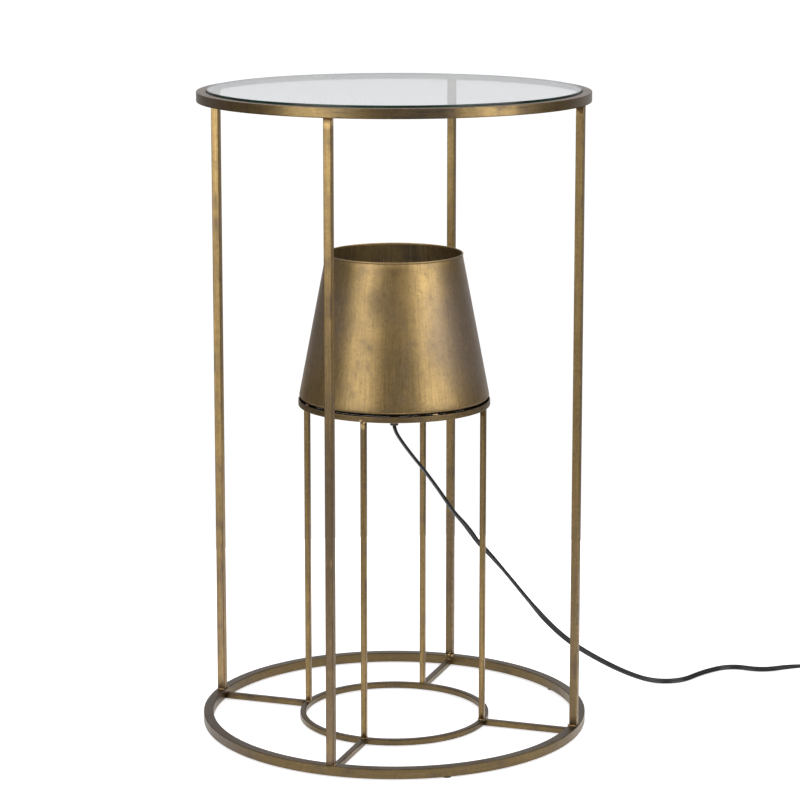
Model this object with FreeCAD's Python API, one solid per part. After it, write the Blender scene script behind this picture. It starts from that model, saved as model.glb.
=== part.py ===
import FreeCAD, Part
import math
import os

# Floor lamp with a round glass table top.
# Two welded ring-and-post frames stand one inside the other: the outer one carries a glass
# disc at table height, the inner one carries an open conical shade with the lamp holder.
# Millimetres, +Z up.  The origin is on the floor, on the axis of the rings.
# The posts stand on the axes: front is -Y, right is +X, back is +Y, left is -X.

Vector = FreeCAD.Vector
UP = Vector(0, 0, 1)
ORIGIN = Vector(0, 0, 0)

# ---------------------------------------------------------------- driving dimensions

frame_diameter = 400.0        # outside of both large rings
table_height = 660.0          # floor to the top of the table ring
ring_bar = 10.0               # square bar of the two large rings
post_bar = 8.0                # square bar of the four outer posts
inner_frame_diameter = 198.0  # outside of the two small rings
small_bar = 6.0               # square bar of the small rings and the spokes
inner_post_bar = 5.5          # square bar of the four inner posts
bar_edge_break = 0.6          # flat worn along each long edge of the straight bars
post_count = 4

floor_pad_diameter = 9.0
floor_pad_height = 1.5
floor_pad_angles = (-56.0, 47.3, 178.0)   # degrees from +X, as they were stuck on

glass_thickness = 6.0
glass_gap = 0.6               # all round, between the disc and the table ring
glass_proud = 2.0             # how far the disc stands above the table ring
bumper_side = 8.0             # square clear bumpers
bumper_height = 1.0
tab_length = 11.0             # of the four tabs inward from the table ring
tab_width = 12.0
tab_thickness = 2.0
tab_first_angle = 45.0

shade_ring_underside = 336.5  # height of the small upper ring above the floor
shade_gap = 1.5               # from the small upper ring to the edge of the shade
shade_height = 150.0
shade_inset = 0.5             # from the outside of the small upper ring to the shade's edge
shade_top_diameter = 142.0
shade_sheet = 1.0
shade_bead = 1.7              # width and height of the rolled bead round the shade's mouth
tack_length = 6.0             # of the four tack welds that carry the shade
tack_width = 1.4
tack_first_angle = 43.5

carrier_width = 16.0          # flat bar across the small upper ring
carrier_thickness = 3.0
nipple_diameter = 9.9         # M10 threaded tube
nipple_bore = 7.0
nipple_length = 23.0
nipple_below_carrier = 12.5
thread_clearance = 0.15       # on the radius, between the M10 tube and what it screws into
nut_flats = 14.0
nut_height = 3.0
gland_length = 20.0
gland_top_diameter = 14.0
gland_end_diameter = 9.0
gland_lip = 3.0               # straight part at the gland's upper end
gland_straight = 13.5         # how far the cord hangs straight below the gland

holder_diameter = 38.0
holder_wall = 2.0
holder_cap_height = 22.0
holder_cap_bevel = 2.5        # round the foot of the cap
holder_sleeve_height = 30.0
holder_flange = 1.6           # how far the sleeve's rim stands out
holder_flange_height = 3.0
insert_thickness = 7.0        # ceramic disc inside the holder
shell_wall = 0.5
shell_height = 21.0
contact_height = 1.6
contact_width = 7.0
contact_strip = 0.5           # thickness of the brass strip

bulb_cap_diameter = 26.2
bulb_cap_height = 22.0
bulb_cap_bevel = 2.0
bulb_tip_height = 3.0
bulb_tip_diameter = 9.0
bulb_insulator_diameter = 16.0
bulb_diameter = 63.0          # a reflector lamp, as uplights take
bulb_length = 104.0           # tip to the middle of its face
bulb_neck_diameter = 28.0
bulb_neck_length = 13.0
bulb_flare_length = 44.0      # from the neck to the rim
bulb_rim_height = 12.0
bulb_set_in = 1.0             # how far the glass goes into its cap
bulb_clearance = 0.4          # on the radius, cap to shell, and tip to contact

cord_diameter = 5.4           # width of the flat two-core cord
core_diameter = 1.8
core_clearance = 0.1
cord_bore_clearance = 0.2

switch_length = 60.0
switch_width = 25.0
switch_lower_height = 6.0
switch_upper_height = 8.5
switch_wall = 1.8
switch_corner = 11.0
switch_edge = 1.4             # bevel round the lower shell
switch_crown = 3.0            # bevel round the upper shell
rocker_length = 19.0
rocker_width = 10.0
rocker_proud = 2.6            # above the upper shell, at the raised end
rocker_tilt = 8.0             # degrees each way from level
rocker_clearance = 0.4        # beside the key
rocker_end_clearance = 0.8    # before and behind it, for the tilt
pivot_diameter = 3.0
pivot_clearance = 0.3
pivot_length = 2.2
pivot_depth = 3.2             # below the top of the upper shell
cheek_wall = 1.4              # material beyond each end of the pivot
clamp_rib = 1.6               # thickness of the ribs that grip the cord
clamp_inset = 3.0
clamp_pitch = 4.0
switch_contact_size = 5.0
switch_lead_out = 14.0        # how far the cord runs straight out of the switch

plug_width = 35.3
plug_thickness = 13.7
plug_length = 33.0
plug_tail_width = 13.0
plug_shoulder = 14.0          # length over which the plug body widens
plug_edge = 2.0
plug_relief_length = 22.0
plug_relief_end = 7.4
plug_relief_steps = 3         # collars of the sleeve, each wider than the one before
pin_diameter = 4.0
pin_length = 19.0
pin_spacing = 18.6
pin_seat = 8.0
pin_bevel = 0.8

coil_centre = (480.5, 274.0)
coil_start_angle = 18.5       # degrees from +X, outward at the coil's first point
coil_inner_radius = 23.6
coil_turns = 5
coil_pitch = 5.9              # between turns side by side and between the two layers
coil_floor_gap = 0.9          # room for the tie under the coil
coil_run_in = 13.0            # straight cord before the coil
coil_run_out = 13.6           # and after it
tie_angle = 225.0
tie_width = 6.0
tie_thickness = 0.5
tie_clearance = 0.3

CORD_SIDES = 6                # flats round the free stretches of cord
COIL_SIDES = 4                # and round the coil

# ---------------------------------------------------------------- derived sizes

frame_radius = frame_diameter / 2
ring_inside = frame_radius - ring_bar
post_radius = frame_radius - ring_bar / 2
base_underside = floor_pad_height
base_top = base_underside + ring_bar
table_ring_underside = table_height - ring_bar

inner_radius = inner_frame_diameter / 2
inner_ring_inside = inner_radius - small_bar
inner_post_radius = inner_radius - small_bar / 2
inner_base_top = base_underside + small_bar
shade_ring_top = shade_ring_underside + small_bar

glass_radius = ring_inside - glass_gap
glass_top_height = table_height + glass_proud
glass_underside = glass_top_height - glass_thickness
tab_top = glass_underside - bumper_height

shade_underside = shade_ring_top + shade_gap
shade_top = shade_underside + shade_height
shade_bottom_radius = inner_radius - shade_inset
shade_top_radius = shade_top_diameter / 2

carrier_top = shade_ring_underside + carrier_thickness
nipple_bottom = shade_ring_underside - nipple_below_carrier
nipple_top = nipple_bottom + nipple_length
thread_radius = nipple_diameter / 2 + thread_clearance
gland_top = shade_ring_underside - nut_height
gland_end = gland_top - gland_length

holder_radius = holder_diameter / 2
holder_split = carrier_top + holder_cap_height
holder_top = holder_split + holder_sleeve_height
insert_underside = holder_split - insert_thickness
bulb_cap_radius = bulb_cap_diameter / 2
shell_inside = bulb_cap_radius + bulb_clearance
shell_underside = holder_split
contact_top = holder_split + contact_height
bulb_tip = contact_top + bulb_clearance
bulb_top = bulb_tip + bulb_length
bulb_cap_underside = bulb_tip + bulb_tip_height
bulb_cap_top = bulb_cap_underside + bulb_cap_height
bulb_foot = bulb_cap_top - bulb_set_in

cord_radius = cord_diameter / 2
bore_radius = cord_radius + cord_bore_clearance
switch_height = switch_lower_height + switch_upper_height
pivot_height = switch_height - pivot_depth
plug_axis = plug_thickness / 2

coil_outer_radius = coil_inner_radius + coil_pitch * coil_turns / 2
coil_lower_layer = coil_floor_gap + cord_radius
coil_upper_layer = coil_lower_layer + coil_pitch

# ---------------------------------------------------------------- cord routes
# Points chosen by hand, straight out of the gland, down in a slack bow and along the floor.

floor_line = cord_radius + 0.05

cord_route = [
    (0.0, 0.0, gland_end),
    (0.0, 0.0, gland_end - gland_straight),
    (5.2, 4.4, 287.4),
    (19.8, 16.8, 265.5),
    (38.1, 32.3, 236.5),
    (64.1, 54.3, 191.5),
    (94.6, 80.2, 146.5),
    (124.3, 105.4, 99.5),
    (149.5, 126.8, 62.5),
    (180.8, 153.3, 35.0),
    (211.3, 179.2, 15.5),
    (232.6, 197.3, floor_line),
    (262.0, 209.0, floor_line),
    (279.0, 249.0, floor_line),
    (301.0, 281.0, floor_line),
    (338.0, 275.0, floor_line),
    (368.0, 291.0, switch_lower_height),
    (398.5, 304.5, switch_lower_height),
]


def heading_between(start, end):
    """Degrees from +X of the plan direction from one route point to another."""
    return math.degrees(math.atan2(end[1] - start[1], end[0] - start[0]))


def ahead(point, heading, distance, height):
    """A route point at a plan distance and heading from another, at its own height."""
    angle = math.radians(heading)
    return (
        point[0] + distance * math.cos(angle),
        point[1] + distance * math.sin(angle),
        height,
    )


switch_heading = heading_between(cord_route[-2], cord_route[-1])
switch_start = cord_route[-1]
switch_end = ahead(switch_start, switch_heading, switch_length, switch_lower_height)

coil_heading = coil_start_angle - 90.0
coil_first = ahead((*coil_centre, 0), coil_start_angle, coil_outer_radius, coil_lower_layer)
coil_last = ahead((*coil_centre, 0), coil_start_angle, coil_outer_radius, coil_upper_layer)
coil_entry = ahead(coil_first, coil_heading, -cord_diameter, coil_lower_layer)
coil_exit = ahead(coil_last, coil_heading, cord_diameter, coil_upper_layer)

lead_route = [
    switch_end,
    ahead(switch_end, switch_heading, switch_lead_out, switch_lower_height),
    (481.2, 334.4, 5.7),
    (494.9, 328.3, 5.1),
    (504.9, 317.1, 4.5),
    ahead(coil_entry, coil_heading, -coil_run_in, coil_lower_layer),
    coil_entry,
]

tail_route = [
    coil_exit,
    ahead(coil_exit, coil_heading, coil_run_out, coil_upper_layer),
    (530.0, 250.1, 5.0),
    (538.6, 231.9, 3.2),
    (546.2, 215.5, plug_axis),
    (551.5, 202.5, plug_axis),
]

plug_heading = heading_between(tail_route[-2], tail_route[-1])
plug_start = tail_route[-1]

# ---------------------------------------------------------------- making helpers


def polar(radius, degrees, height=0.0):
    """The point at a radius and an angle from +X, at a height."""
    angle = math.radians(degrees)
    return Vector(radius * math.cos(angle), radius * math.sin(angle), height)


def lathe(points):
    """A solid turned about Z from a closed outline of (radius, height) corners."""
    corners = [Vector(r, 0, z) for r, z in points]
    outline = Part.makePolygon(corners + corners[:1])
    return Part.Face(outline).revolve(ORIGIN, UP, 360)


def broken_square(side, height, edge_break):
    """Corners of a rectangle about the origin with each corner cut at 45 degrees."""
    x = side / 2
    z = height / 2
    b = edge_break
    return [
        (x - b, -z), (x, -z + b), (x, z - b), (x - b, z),
        (-x + b, z), (-x, z - b), (-x, -z + b), (-x + b, -z),
    ]


def bar_ring(outer_radius, bar, underside):
    """A ring of square bar."""
    inside = outer_radius - bar
    top = underside + bar
    return lathe([
        (inside, underside), (outer_radius, underside), (outer_radius, top), (inside, top),
    ])


def upright(bar, radius, degrees, low, high):
    """A square post with its faces square to the ring, standing on a radius."""
    corners = [Vector(x, y, 0) for x, y in broken_square(bar, bar, bar_edge_break)]
    outline = Part.makePolygon(corners + corners[:1])
    post = Part.Face(outline).extrude(UP * (high - low))
    post.translate(Vector(radius, 0, low))
    post.rotate(ORIGIN, UP, degrees)
    return post


def disc(radius, low, high, x=0.0, y=0.0):
    """A round solid standing on Z."""
    return Part.makeCylinder(radius, high - low, Vector(x, y, low))


def pipe(inner, outer, low, high):
    """A round tube standing on Z, on the axis."""
    return lathe([(inner, low), (outer, low), (outer, high), (inner, high)])


def block(length, width, low, high, x=0.0, y=0.0):
    """A rectangular solid centred on (x, y)."""
    corner = Vector(x - length / 2, y - width / 2, low)
    return Part.makeBox(length, width, high - low, corner)


def placed(shape, heading, point, height=0.0):
    """A shape drawn along +X from the origin, turned to a heading and set on a point."""
    moved = shape.copy()
    moved.rotate(ORIGIN, UP, heading)
    moved.translate(Vector(point[0], point[1], height))
    return moved


def post_angles():
    """The angles of the posts and spokes, from +X, in the order front, right, back, left."""
    return [-90.0 + 360.0 * index / post_count for index in range(post_count)]


# ---------------------------------------------------------------- cords


def unit(vector):
    """The vector at length one."""
    copy = Vector(vector)
    copy.normalize()
    return copy


def rounded_route(name, route):
    """Edges of straight runs joined by tangent arcs, with the arc radii printed."""
    points = [Vector(*p) for p in route]
    edges = []
    radii = []
    here = points[0]
    for before, corner, after in zip(points, points[1:], points[2:]):
        back = unit(before - corner)
        on = unit(after - corner)
        turn = math.pi - back.getAngle(on)
        shorter = min((before - corner).Length, (after - corner).Length)
        reach = 0.45 * shorter
        radius = reach / math.tan(turn / 2)
        first = corner + back * reach
        last = corner + on * reach
        bisector = unit(back + on)
        centre = corner + bisector * (radius / math.cos(turn / 2))
        middle = centre - bisector * radius
        edges.append(Part.LineSegment(here, first).toShape())
        edges.append(Part.Arc(first, middle, last).toShape())
        radii.append(radius)
        here = last
    edges.append(Part.LineSegment(here, points[-1]).toShape())
    print(name, "radii", " ".join("%.0f" % r for r in radii))
    return edges


def cord_section(point, direction, sides):
    """A closed outline of flats round the cord, square to its direction."""
    across = unit(direction.cross(UP)) if abs(direction.z) < 0.9 else Vector(1, 0, 0)
    other = unit(direction.cross(across))
    corners = []
    for index in range(sides):
        angle = 2 * math.pi * (index + 0.5) / sides
        offset = across * math.cos(angle) + other * math.sin(angle)
        corners.append(point + offset * cord_radius)
    return Part.makePolygon(corners + corners[:1])


def tube_along(name, edges, start, direction, sides):
    """The cord's solid along a path, with its volume set against section times length."""
    path = Part.Wire(edges)
    section = cord_section(start, direction, sides)
    tube = path.makePipeShell([section], True, False)
    expected = Part.Face(section).Area * path.Length
    print(name, "length %.1f" % path.Length, "volume ratio %.4f" % (tube.Volume / expected))
    return tube


def cord_tube(name, route):
    """A free stretch of cord through the points of a route."""
    edges = rounded_route(name, route)
    start = Vector(*route[0])
    return tube_along(name, edges, start, unit(Vector(*route[1]) - start), CORD_SIDES)


def coil_point(turn):
    """The coil's centreline, turns counted from its middle: clockwise, in and then out."""
    radius = coil_inner_radius + coil_pitch * abs(turn)
    degrees = coil_start_angle - 360.0 * (turn + coil_turns / 2)
    climbed = min(max(2 * turn + 0.5, 0.0), 1.0)
    height = coil_lower_layer + coil_pitch * climbed
    return Vector(*coil_centre, 0) + polar(radius, degrees, height)


def coil_direction(turn):
    """The coil's direction of travel, from two near points on the same side of a change."""
    step = 1e-4
    half = coil_turns / 2
    before = coil_point(max(turn - step, -half))
    after = coil_point(min(turn + step, half))
    direction = after - before
    if abs(turn) == half:
        direction.z = 0
    return unit(direction)


def arc_from(start, direction, end):
    """The arc that leaves a point in a direction and ends at another point."""
    chord = end - start
    along = unit(chord)
    sideways = direction - along * direction.dot(along)
    half_turn = direction.getAngle(chord)
    rise = chord.Length / 2 * math.tan(half_turn / 2)
    middle = start + chord * 0.5 + unit(sideways) * rise
    return Part.Arc(start, middle, end).toShape()


def arc_into(start, end, direction):
    """The arc that leaves a point and ends at another in a direction."""
    chord = end - start
    along = unit(chord)
    sideways = direction - along * direction.dot(along)
    half_turn = direction.getAngle(chord)
    rise = chord.Length / 2 * math.tan(half_turn / 2)
    middle = start + chord * 0.5 - unit(sideways) * rise
    return Part.Arc(start, middle, end).toShape()


def biarc(start, leaving, end, arriving):
    """Two arcs, tangent to each other, between two points with set directions."""
    chord = end - start
    both = leaving + arriving
    spread = 2 * (1 - leaving.dot(arriving))
    inside = chord.dot(both) ** 2 + spread * chord.dot(chord)
    reach = (math.sqrt(inside) - chord.dot(both)) / spread
    meeting = (start + leaving * reach + end - arriving * reach) * 0.5
    return [arc_from(start, leaving, meeting), arc_into(meeting, end, arriving)]


def coil_edges():
    """The coil's path: straight ends one diameter long and a biarc for each quarter turn."""
    quarters = 4 * coil_turns
    marks = [index / 4 - coil_turns / 2 for index in range(quarters + 1)]
    points = [coil_point(mark) for mark in marks]
    tangent = unit(polar(1, coil_heading))
    directions = [coil_direction(mark) for mark in marks]
    directions[0] = tangent
    directions[-1] = tangent
    edges = [Part.LineSegment(Vector(*coil_entry), points[0]).toShape()]
    for index in range(quarters):
        edges += biarc(points[index], directions[index], points[index + 1], directions[index + 1])
    edges.append(Part.LineSegment(points[-1], Vector(*coil_exit)).toShape())
    return edges


def print_coil_gap(edges):
    """Print the least gap between the coil's turns, measured on points along its path."""
    step = 2.0
    points = []
    for edge in edges:
        points += edge.discretize(max(2, int(edge.Length / step)))[:-1]
    path_length = sum(edge.Length for edge in edges)
    apart = int(len(points) * 3 * cord_diameter / path_length)
    least = min(
        points[i].distanceToPoint(points[j])
        for i in range(len(points))
        for j in range(i + apart, len(points))
    )
    print("coil least gap %.2f" % (least - cord_diameter))


# ---------------------------------------------------------------- the table frame


def table_ring():
    return bar_ring(frame_radius, ring_bar, table_ring_underside)


def base_ring():
    return bar_ring(frame_radius, ring_bar, base_underside)


def outer_post(degrees):
    return upright(post_bar, post_radius, degrees, base_top, table_ring_underside)


def floor_pads():
    """Three thin round pads under the base ring."""
    pads = []
    for degrees in floor_pad_angles:
        spot = polar(post_radius, degrees)
        pads.append(disc(floor_pad_diameter / 2, 0.0, floor_pad_height, spot.x, spot.y))
    return Part.makeCompound(pads)


def spoke(degrees):
    """A flat-laid bar whose ends are cut to the curve of the two base rings."""
    middle = (inner_radius + ring_inside) / 2
    length = ring_inside - inner_radius + ring_bar
    outline = broken_square(small_bar, small_bar, bar_edge_break)
    level = base_underside + small_bar / 2
    corners = [Vector(middle - length / 2, y, level + z) for y, z in outline]
    bar = Part.Face(Part.makePolygon(corners + corners[:1])).extrude(Vector(length, 0, 0))
    band = lathe([
        (inner_radius, base_underside - 1), (ring_inside, base_underside - 1),
        (ring_inside, base_top), (inner_radius, base_top),
    ])
    bar = bar.common(band)
    bar.rotate(ORIGIN, UP, degrees)
    return bar


def glass_tabs():
    """Four small plates welded inside the table ring, under the glass."""
    tabs = []
    round_wall = disc(ring_inside, tab_top - tab_thickness, tab_top)
    for index in range(post_count):
        tab = block(
            tab_length + ring_bar, tab_width, tab_top - tab_thickness, tab_top,
            ring_inside - tab_length / 2 + ring_bar / 2,
        )
        tab.rotate(ORIGIN, UP, tab_first_angle + 360.0 * index / post_count)
        tabs.append(tab.common(round_wall))
    return Part.makeCompound(tabs)


def glass_bumpers():
    """A clear bumper on each tab, for the glass to lie on."""
    bumpers = []
    for index in range(post_count):
        place = ring_inside - tab_length / 2
        bumper = block(bumper_side, bumper_side, tab_top, glass_underside, place)
        bumper.rotate(ORIGIN, UP, tab_first_angle + 360.0 * index / post_count)
        bumpers.append(bumper)
    return Part.makeCompound(bumpers)


def glass_top():
    return disc(glass_radius, glass_underside, glass_top_height)


# ---------------------------------------------------------------- the inner frame


def inner_base_ring():
    return bar_ring(inner_radius, small_bar, base_underside)


def inner_post(degrees):
    return upright(inner_post_bar, inner_post_radius, degrees, inner_base_top, shade_ring_underside)


def shade_ring():
    return bar_ring(inner_radius, small_bar, shade_ring_underside)


def shade():
    """A cone of thin sheet, open at both ends, with a bead turned out round its mouth."""
    foot = shade_bottom_radius
    mouth = shade_top_radius
    bead_underside = shade_top - shade_bead
    return lathe([
        (foot - shade_sheet, shade_underside), (foot, shade_underside),
        (mouth - shade_bead + shade_sheet, bead_underside), (mouth, bead_underside),
        (mouth, shade_top), (mouth - shade_bead, shade_top), (mouth - shade_bead, bead_underside),
    ])


def shade_tacks():
    """Four short tack welds between the small upper ring and the shade's edge."""
    outer = shade_bottom_radius
    inner = outer - tack_width
    band = lathe([
        (inner, shade_ring_top), (outer, shade_ring_top),
        (outer, shade_underside), (inner, shade_underside),
    ])
    tacks = []
    for index in range(post_count):
        window = block(4 * tack_width, tack_length, shade_ring_top, shade_underside, outer)
        window.rotate(ORIGIN, UP, tack_first_angle + 360.0 * index / post_count)
        tacks.append(band.common(window))
    return Part.makeCompound(tacks)


# ---------------------------------------------------------------- the lamp holder


def holder_carrier():
    """A flat bar across the small upper ring, drilled for the threaded tube."""
    bar = block(2 * inner_radius, carrier_width, shade_ring_underside, carrier_top)
    bar = bar.common(disc(inner_ring_inside, shade_ring_underside, carrier_top))
    return bar.cut(disc(thread_radius, shade_ring_underside, carrier_top))


def threaded_tube():
    return pipe(nipple_bore / 2, nipple_diameter / 2, nipple_bottom, nipple_top)


def lock_nut():
    """A hexagon nut under the carrier."""
    corner = nut_flats / math.sqrt(3)
    corners = [polar(corner, 60.0 * index, gland_top) for index in range(6)]
    prism = Part.Face(Part.makePolygon(corners + corners[:1])).extrude(UP * nut_height)
    return prism.cut(disc(thread_radius, gland_top, gland_top + nut_height))


def cord_gland():
    """The tapered strain relief that screws onto the tube and holds the cord."""
    top = gland_top_diameter / 2
    lip = gland_top - gland_lip
    return lathe([
        (bore_radius, gland_end), (gland_end_diameter / 2, gland_end), (top, lip), (top, gland_top),
        (thread_radius, gland_top), (thread_radius, nipple_bottom), (bore_radius, nipple_bottom),
    ])


def holder_cap():
    """The lower half of the holder: a cup screwed down on the carrier, bevelled at its foot."""
    inside = holder_radius - holder_wall
    floor = carrier_top + holder_wall
    bevel = holder_cap_bevel
    return lathe([
        (thread_radius, carrier_top), (holder_radius - bevel, carrier_top),
        (holder_radius, carrier_top + bevel), (holder_radius, holder_split),
        (inside, holder_split), (inside, floor), (thread_radius, floor),
    ])


def holder_sleeve():
    """The upper half of the holder, with a flange round its mouth."""
    rim = holder_radius + holder_flange
    rim_underside = holder_top - holder_flange_height
    return lathe([
        (holder_radius - holder_wall, holder_split), (holder_radius, holder_split),
        (holder_radius, rim_underside), (rim, rim_underside), (rim, holder_top),
        (holder_radius - holder_wall, holder_top),
    ])


def holder_insert():
    """The ceramic disc that carries the contacts, in the mouth of the cap."""
    return disc(holder_radius - holder_wall, insert_underside, holder_split)


def screw_shell():
    """The brass shell that the bulb screws into, standing on the insert."""
    return pipe(shell_inside, shell_inside + shell_wall, shell_underside, shell_underside + shell_height)


def centre_contact():
    """The sprung brass strip under the bulb's tip, bent up from the insert."""
    width = contact_width
    strip = contact_strip
    corners = [
        (-width, 0.0), (-width * 0.4, 0.0), (width * 0.35, contact_height - strip),
        (width * 0.6, contact_height - strip), (width * 0.6, contact_height),
        (width * 0.3, contact_height), (-width * 0.45, strip), (-width, strip),
    ]
    points = [Vector(x, -width / 4, holder_split + z) for x, z in corners]
    return Part.Face(Part.makePolygon(points + points[:1])).extrude(Vector(0, width / 2, 0))


def cord_inside():
    """The sheathed cord from the gland's end to the cap, and its cores up to the insert."""
    top = nipple_top + core_diameter
    sheath = disc(cord_radius, gland_end, top)
    spread = (holder_radius - holder_wall) / 2
    slab = disc(holder_radius, gland_end, insert_underside)
    cores = []
    for side in (-1, 1):
        start = Vector(0, side * cord_radius / 2, top - core_diameter)
        terminal = Vector(0, side * spread, insert_underside)
        run = unit(terminal - start)
        length = (terminal - start).Length + core_diameter
        cores.append(Part.makeCylinder(core_diameter / 2, length, start, run).common(slab))
    return sheath.fuse(cores)


def bulb_glass():
    """A reflector lamp's envelope: neck, flare, rim and a face that rises to its middle."""
    neck = bulb_neck_diameter / 2
    rim = bulb_diameter / 2
    flare = bulb_foot + bulb_neck_length
    rim_underside = flare + bulb_flare_length
    rim_top = rim_underside + bulb_rim_height
    return lathe([
        (0, bulb_foot), (bulb_cap_radius - bulb_clearance, bulb_foot), (neck, bulb_cap_top + 2),
        (neck, flare), (rim, rim_underside), (rim, rim_top), (0, bulb_top),
    ])


def bulb_cap():
    """The screw cap, bevelled at its foot round the insulator."""
    bevel = bulb_cap_bevel
    return lathe([
        (0, bulb_cap_underside), (bulb_cap_radius - bevel, bulb_cap_underside),
        (bulb_cap_radius, bulb_cap_underside + bevel), (bulb_cap_radius, bulb_foot), (0, bulb_foot),
    ])


def bulb_tip_contact():
    """The insulator's cone down to the contact button at the bulb's foot."""
    return lathe([
        (0, bulb_tip), (bulb_tip_diameter / 2, bulb_tip),
        (bulb_insulator_diameter / 2, bulb_cap_underside), (0, bulb_cap_underside),
    ])


# ---------------------------------------------------------------- the in-line switch
# Drawn along +X from the cord's entry, on the floor, and then set at the end of its cord.


def rounded_plan(length, width, corner, low, high):
    """A flat solid with four round corners in plan, from x = 0 to its length."""
    r = min(corner, width / 2 - 0.01)
    w = width / 2
    k = r * (1 - math.sqrt(0.5))

    def at(x, y):
        return Vector(x, y, low)

    edges = [
        Part.LineSegment(at(r, -w), at(length - r, -w)).toShape(),
        Part.Arc(at(length - r, -w), at(length - k, -w + k), at(length, -w + r)).toShape(),
        Part.LineSegment(at(length, -w + r), at(length, w - r)).toShape(),
        Part.Arc(at(length, w - r), at(length - k, w - k), at(length - r, w)).toShape(),
        Part.LineSegment(at(length - r, w), at(r, w)).toShape(),
        Part.Arc(at(r, w), at(k, w - k), at(0, w - r)).toShape(),
        Part.LineSegment(at(0, w - r), at(0, -w + r)).toShape(),
        Part.Arc(at(0, -w + r), at(k, -w + k), at(r, -w)).toShape(),
    ]
    return Part.Face(Part.Wire(edges)).extrude(UP * (high - low))


def level_edges(shape, height):
    """The edges of a shape that lie flat at a height."""
    return [
        edge for edge in shape.Edges
        if all(abs(vertex.Z - height) < 1e-6 for vertex in edge.Vertexes)
    ]


def switch_hollow(low, high):
    """The space inside the two shells."""
    inside = rounded_plan(
        switch_length - 2 * switch_wall, switch_width - 2 * switch_wall,
        switch_corner - switch_wall, low, high,
    )
    inside.translate(Vector(switch_wall, 0, 0))
    return inside


def cord_channel():
    """The round way for the cord along the shells' parting line."""
    return Part.makeCylinder(
        bore_radius, switch_length + 2, Vector(-1, 0, switch_lower_height), Vector(1, 0, 0)
    )


def clamp_ribs(low, high):
    """The pairs of ribs that grip the cord inside each end."""
    inset = switch_wall + clamp_inset
    width = switch_width - 2 * switch_wall - 1
    near = (inset, inset + clamp_pitch)
    far = [switch_length - x for x in near]
    return [block(clamp_rib, width, low, high, x) for x in (*near, *far)]


def switch_lower_shell():
    """The floor half: a shallow tray with the cord's half channel and its clamping ribs."""
    shell = rounded_plan(switch_length, switch_width, switch_corner, 0, switch_lower_height)
    shell = shell.makeChamfer(switch_edge, level_edges(shell, 0))
    shell = shell.cut(switch_hollow(switch_wall, switch_lower_height))
    shell = shell.fuse(clamp_ribs(switch_wall, switch_lower_height))
    return shell.cut(cord_channel()).removeSplitter()


def rocker_window():
    """The opening in the upper shell, with room for the rocker to tilt."""
    length = rocker_length + 2 * rocker_end_clearance
    width = rocker_width + 2 * rocker_clearance
    return block(length, width, switch_lower_height, switch_height + 1, switch_length / 2)


def pivot_at(extra):
    """The rocker's pivot line across the switch, with a clearance on its radius and ends."""
    reach = rocker_width / 2 + pivot_length + extra
    return Part.makeCylinder(
        pivot_diameter / 2 + extra, 2 * reach,
        Vector(switch_length / 2, -reach, pivot_height), Vector(0, 1, 0),
    )


def switch_upper_shell():
    """The top half: bevelled all round, with the rocker's window and its two pivot cheeks."""
    shell = rounded_plan(
        switch_length, switch_width, switch_corner, switch_lower_height, switch_height
    )
    shell = shell.makeChamfer(switch_crown, level_edges(shell, switch_height))
    ceiling = switch_height - switch_wall
    shell = shell.cut(switch_hollow(switch_lower_height, ceiling))
    thick = pivot_length + cheek_wall
    cheek_y = rocker_width / 2 + rocker_clearance + thick / 2
    foot = switch_lower_height + 1
    cheeks = [
        block(8, thick, foot, ceiling, switch_length / 2, side * cheek_y) for side in (-1, 1)
    ]
    shell = shell.fuse(cheeks + clamp_ribs(switch_lower_height, ceiling))
    shell = shell.cut([cord_channel(), rocker_window(), pivot_at(pivot_clearance)])
    return shell.removeSplitter()


def switch_rocker():
    """A two-sided key with a dished top, rocked to one side about its pivot pins."""
    half = rocker_length / 2
    low = pivot_height - 3.0
    crest = switch_height + rocker_proud - 1.0
    edge = switch_height + rocker_proud - half * math.tan(math.radians(rocker_tilt)) + 0.8
    middle = switch_length / 2
    side = -rocker_width / 2

    def at(x, z):
        return Vector(middle + x, side, z)

    edges = [
        Part.LineSegment(at(-half * 0.72, low), at(half * 0.72, low)).toShape(),
        Part.LineSegment(at(half * 0.72, low), at(half, edge)).toShape(),
        Part.Arc(at(half, edge), at(half * 0.45, crest - 1.1), at(0, crest - 1.3)).toShape(),
        Part.Arc(at(0, crest - 1.3), at(-half * 0.45, crest - 1.1), at(-half, edge)).toShape(),
        Part.LineSegment(at(-half, edge), at(-half * 0.72, low)).toShape(),
    ]
    key = Part.Face(Part.Wire(edges)).extrude(Vector(0, rocker_width, 0))
    key = key.fuse(pivot_at(0.0)).removeSplitter()
    key.rotate(Vector(middle, 0, pivot_height), Vector(0, 1, 0), rocker_tilt)
    return key


def switch_cord_ends():
    """The two cut ends of the cord, held by the ribs inside the shells."""
    reach = (switch_length - rocker_length) / 2
    return Part.makeCompound([
        Part.makeCylinder(cord_radius, reach, Vector(x, 0, switch_lower_height), Vector(1, 0, 0))
        for x in (0, switch_length - reach)
    ])


def switch_contacts():
    """The fixed and the moving contact blocks between the cord's cut ends."""
    low = switch_wall
    high = low + 3.0
    spots = [
        (switch_length / 2 - rocker_length * 0.3, switch_contact_size * 0.6),
        (switch_length / 2 + rocker_length * 0.3, -switch_contact_size * 0.6),
    ]
    return Part.makeCompound([
        block(switch_contact_size, switch_contact_size, low, high, x, y) for x, y in spots
    ])


# ---------------------------------------------------------------- the plug


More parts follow.
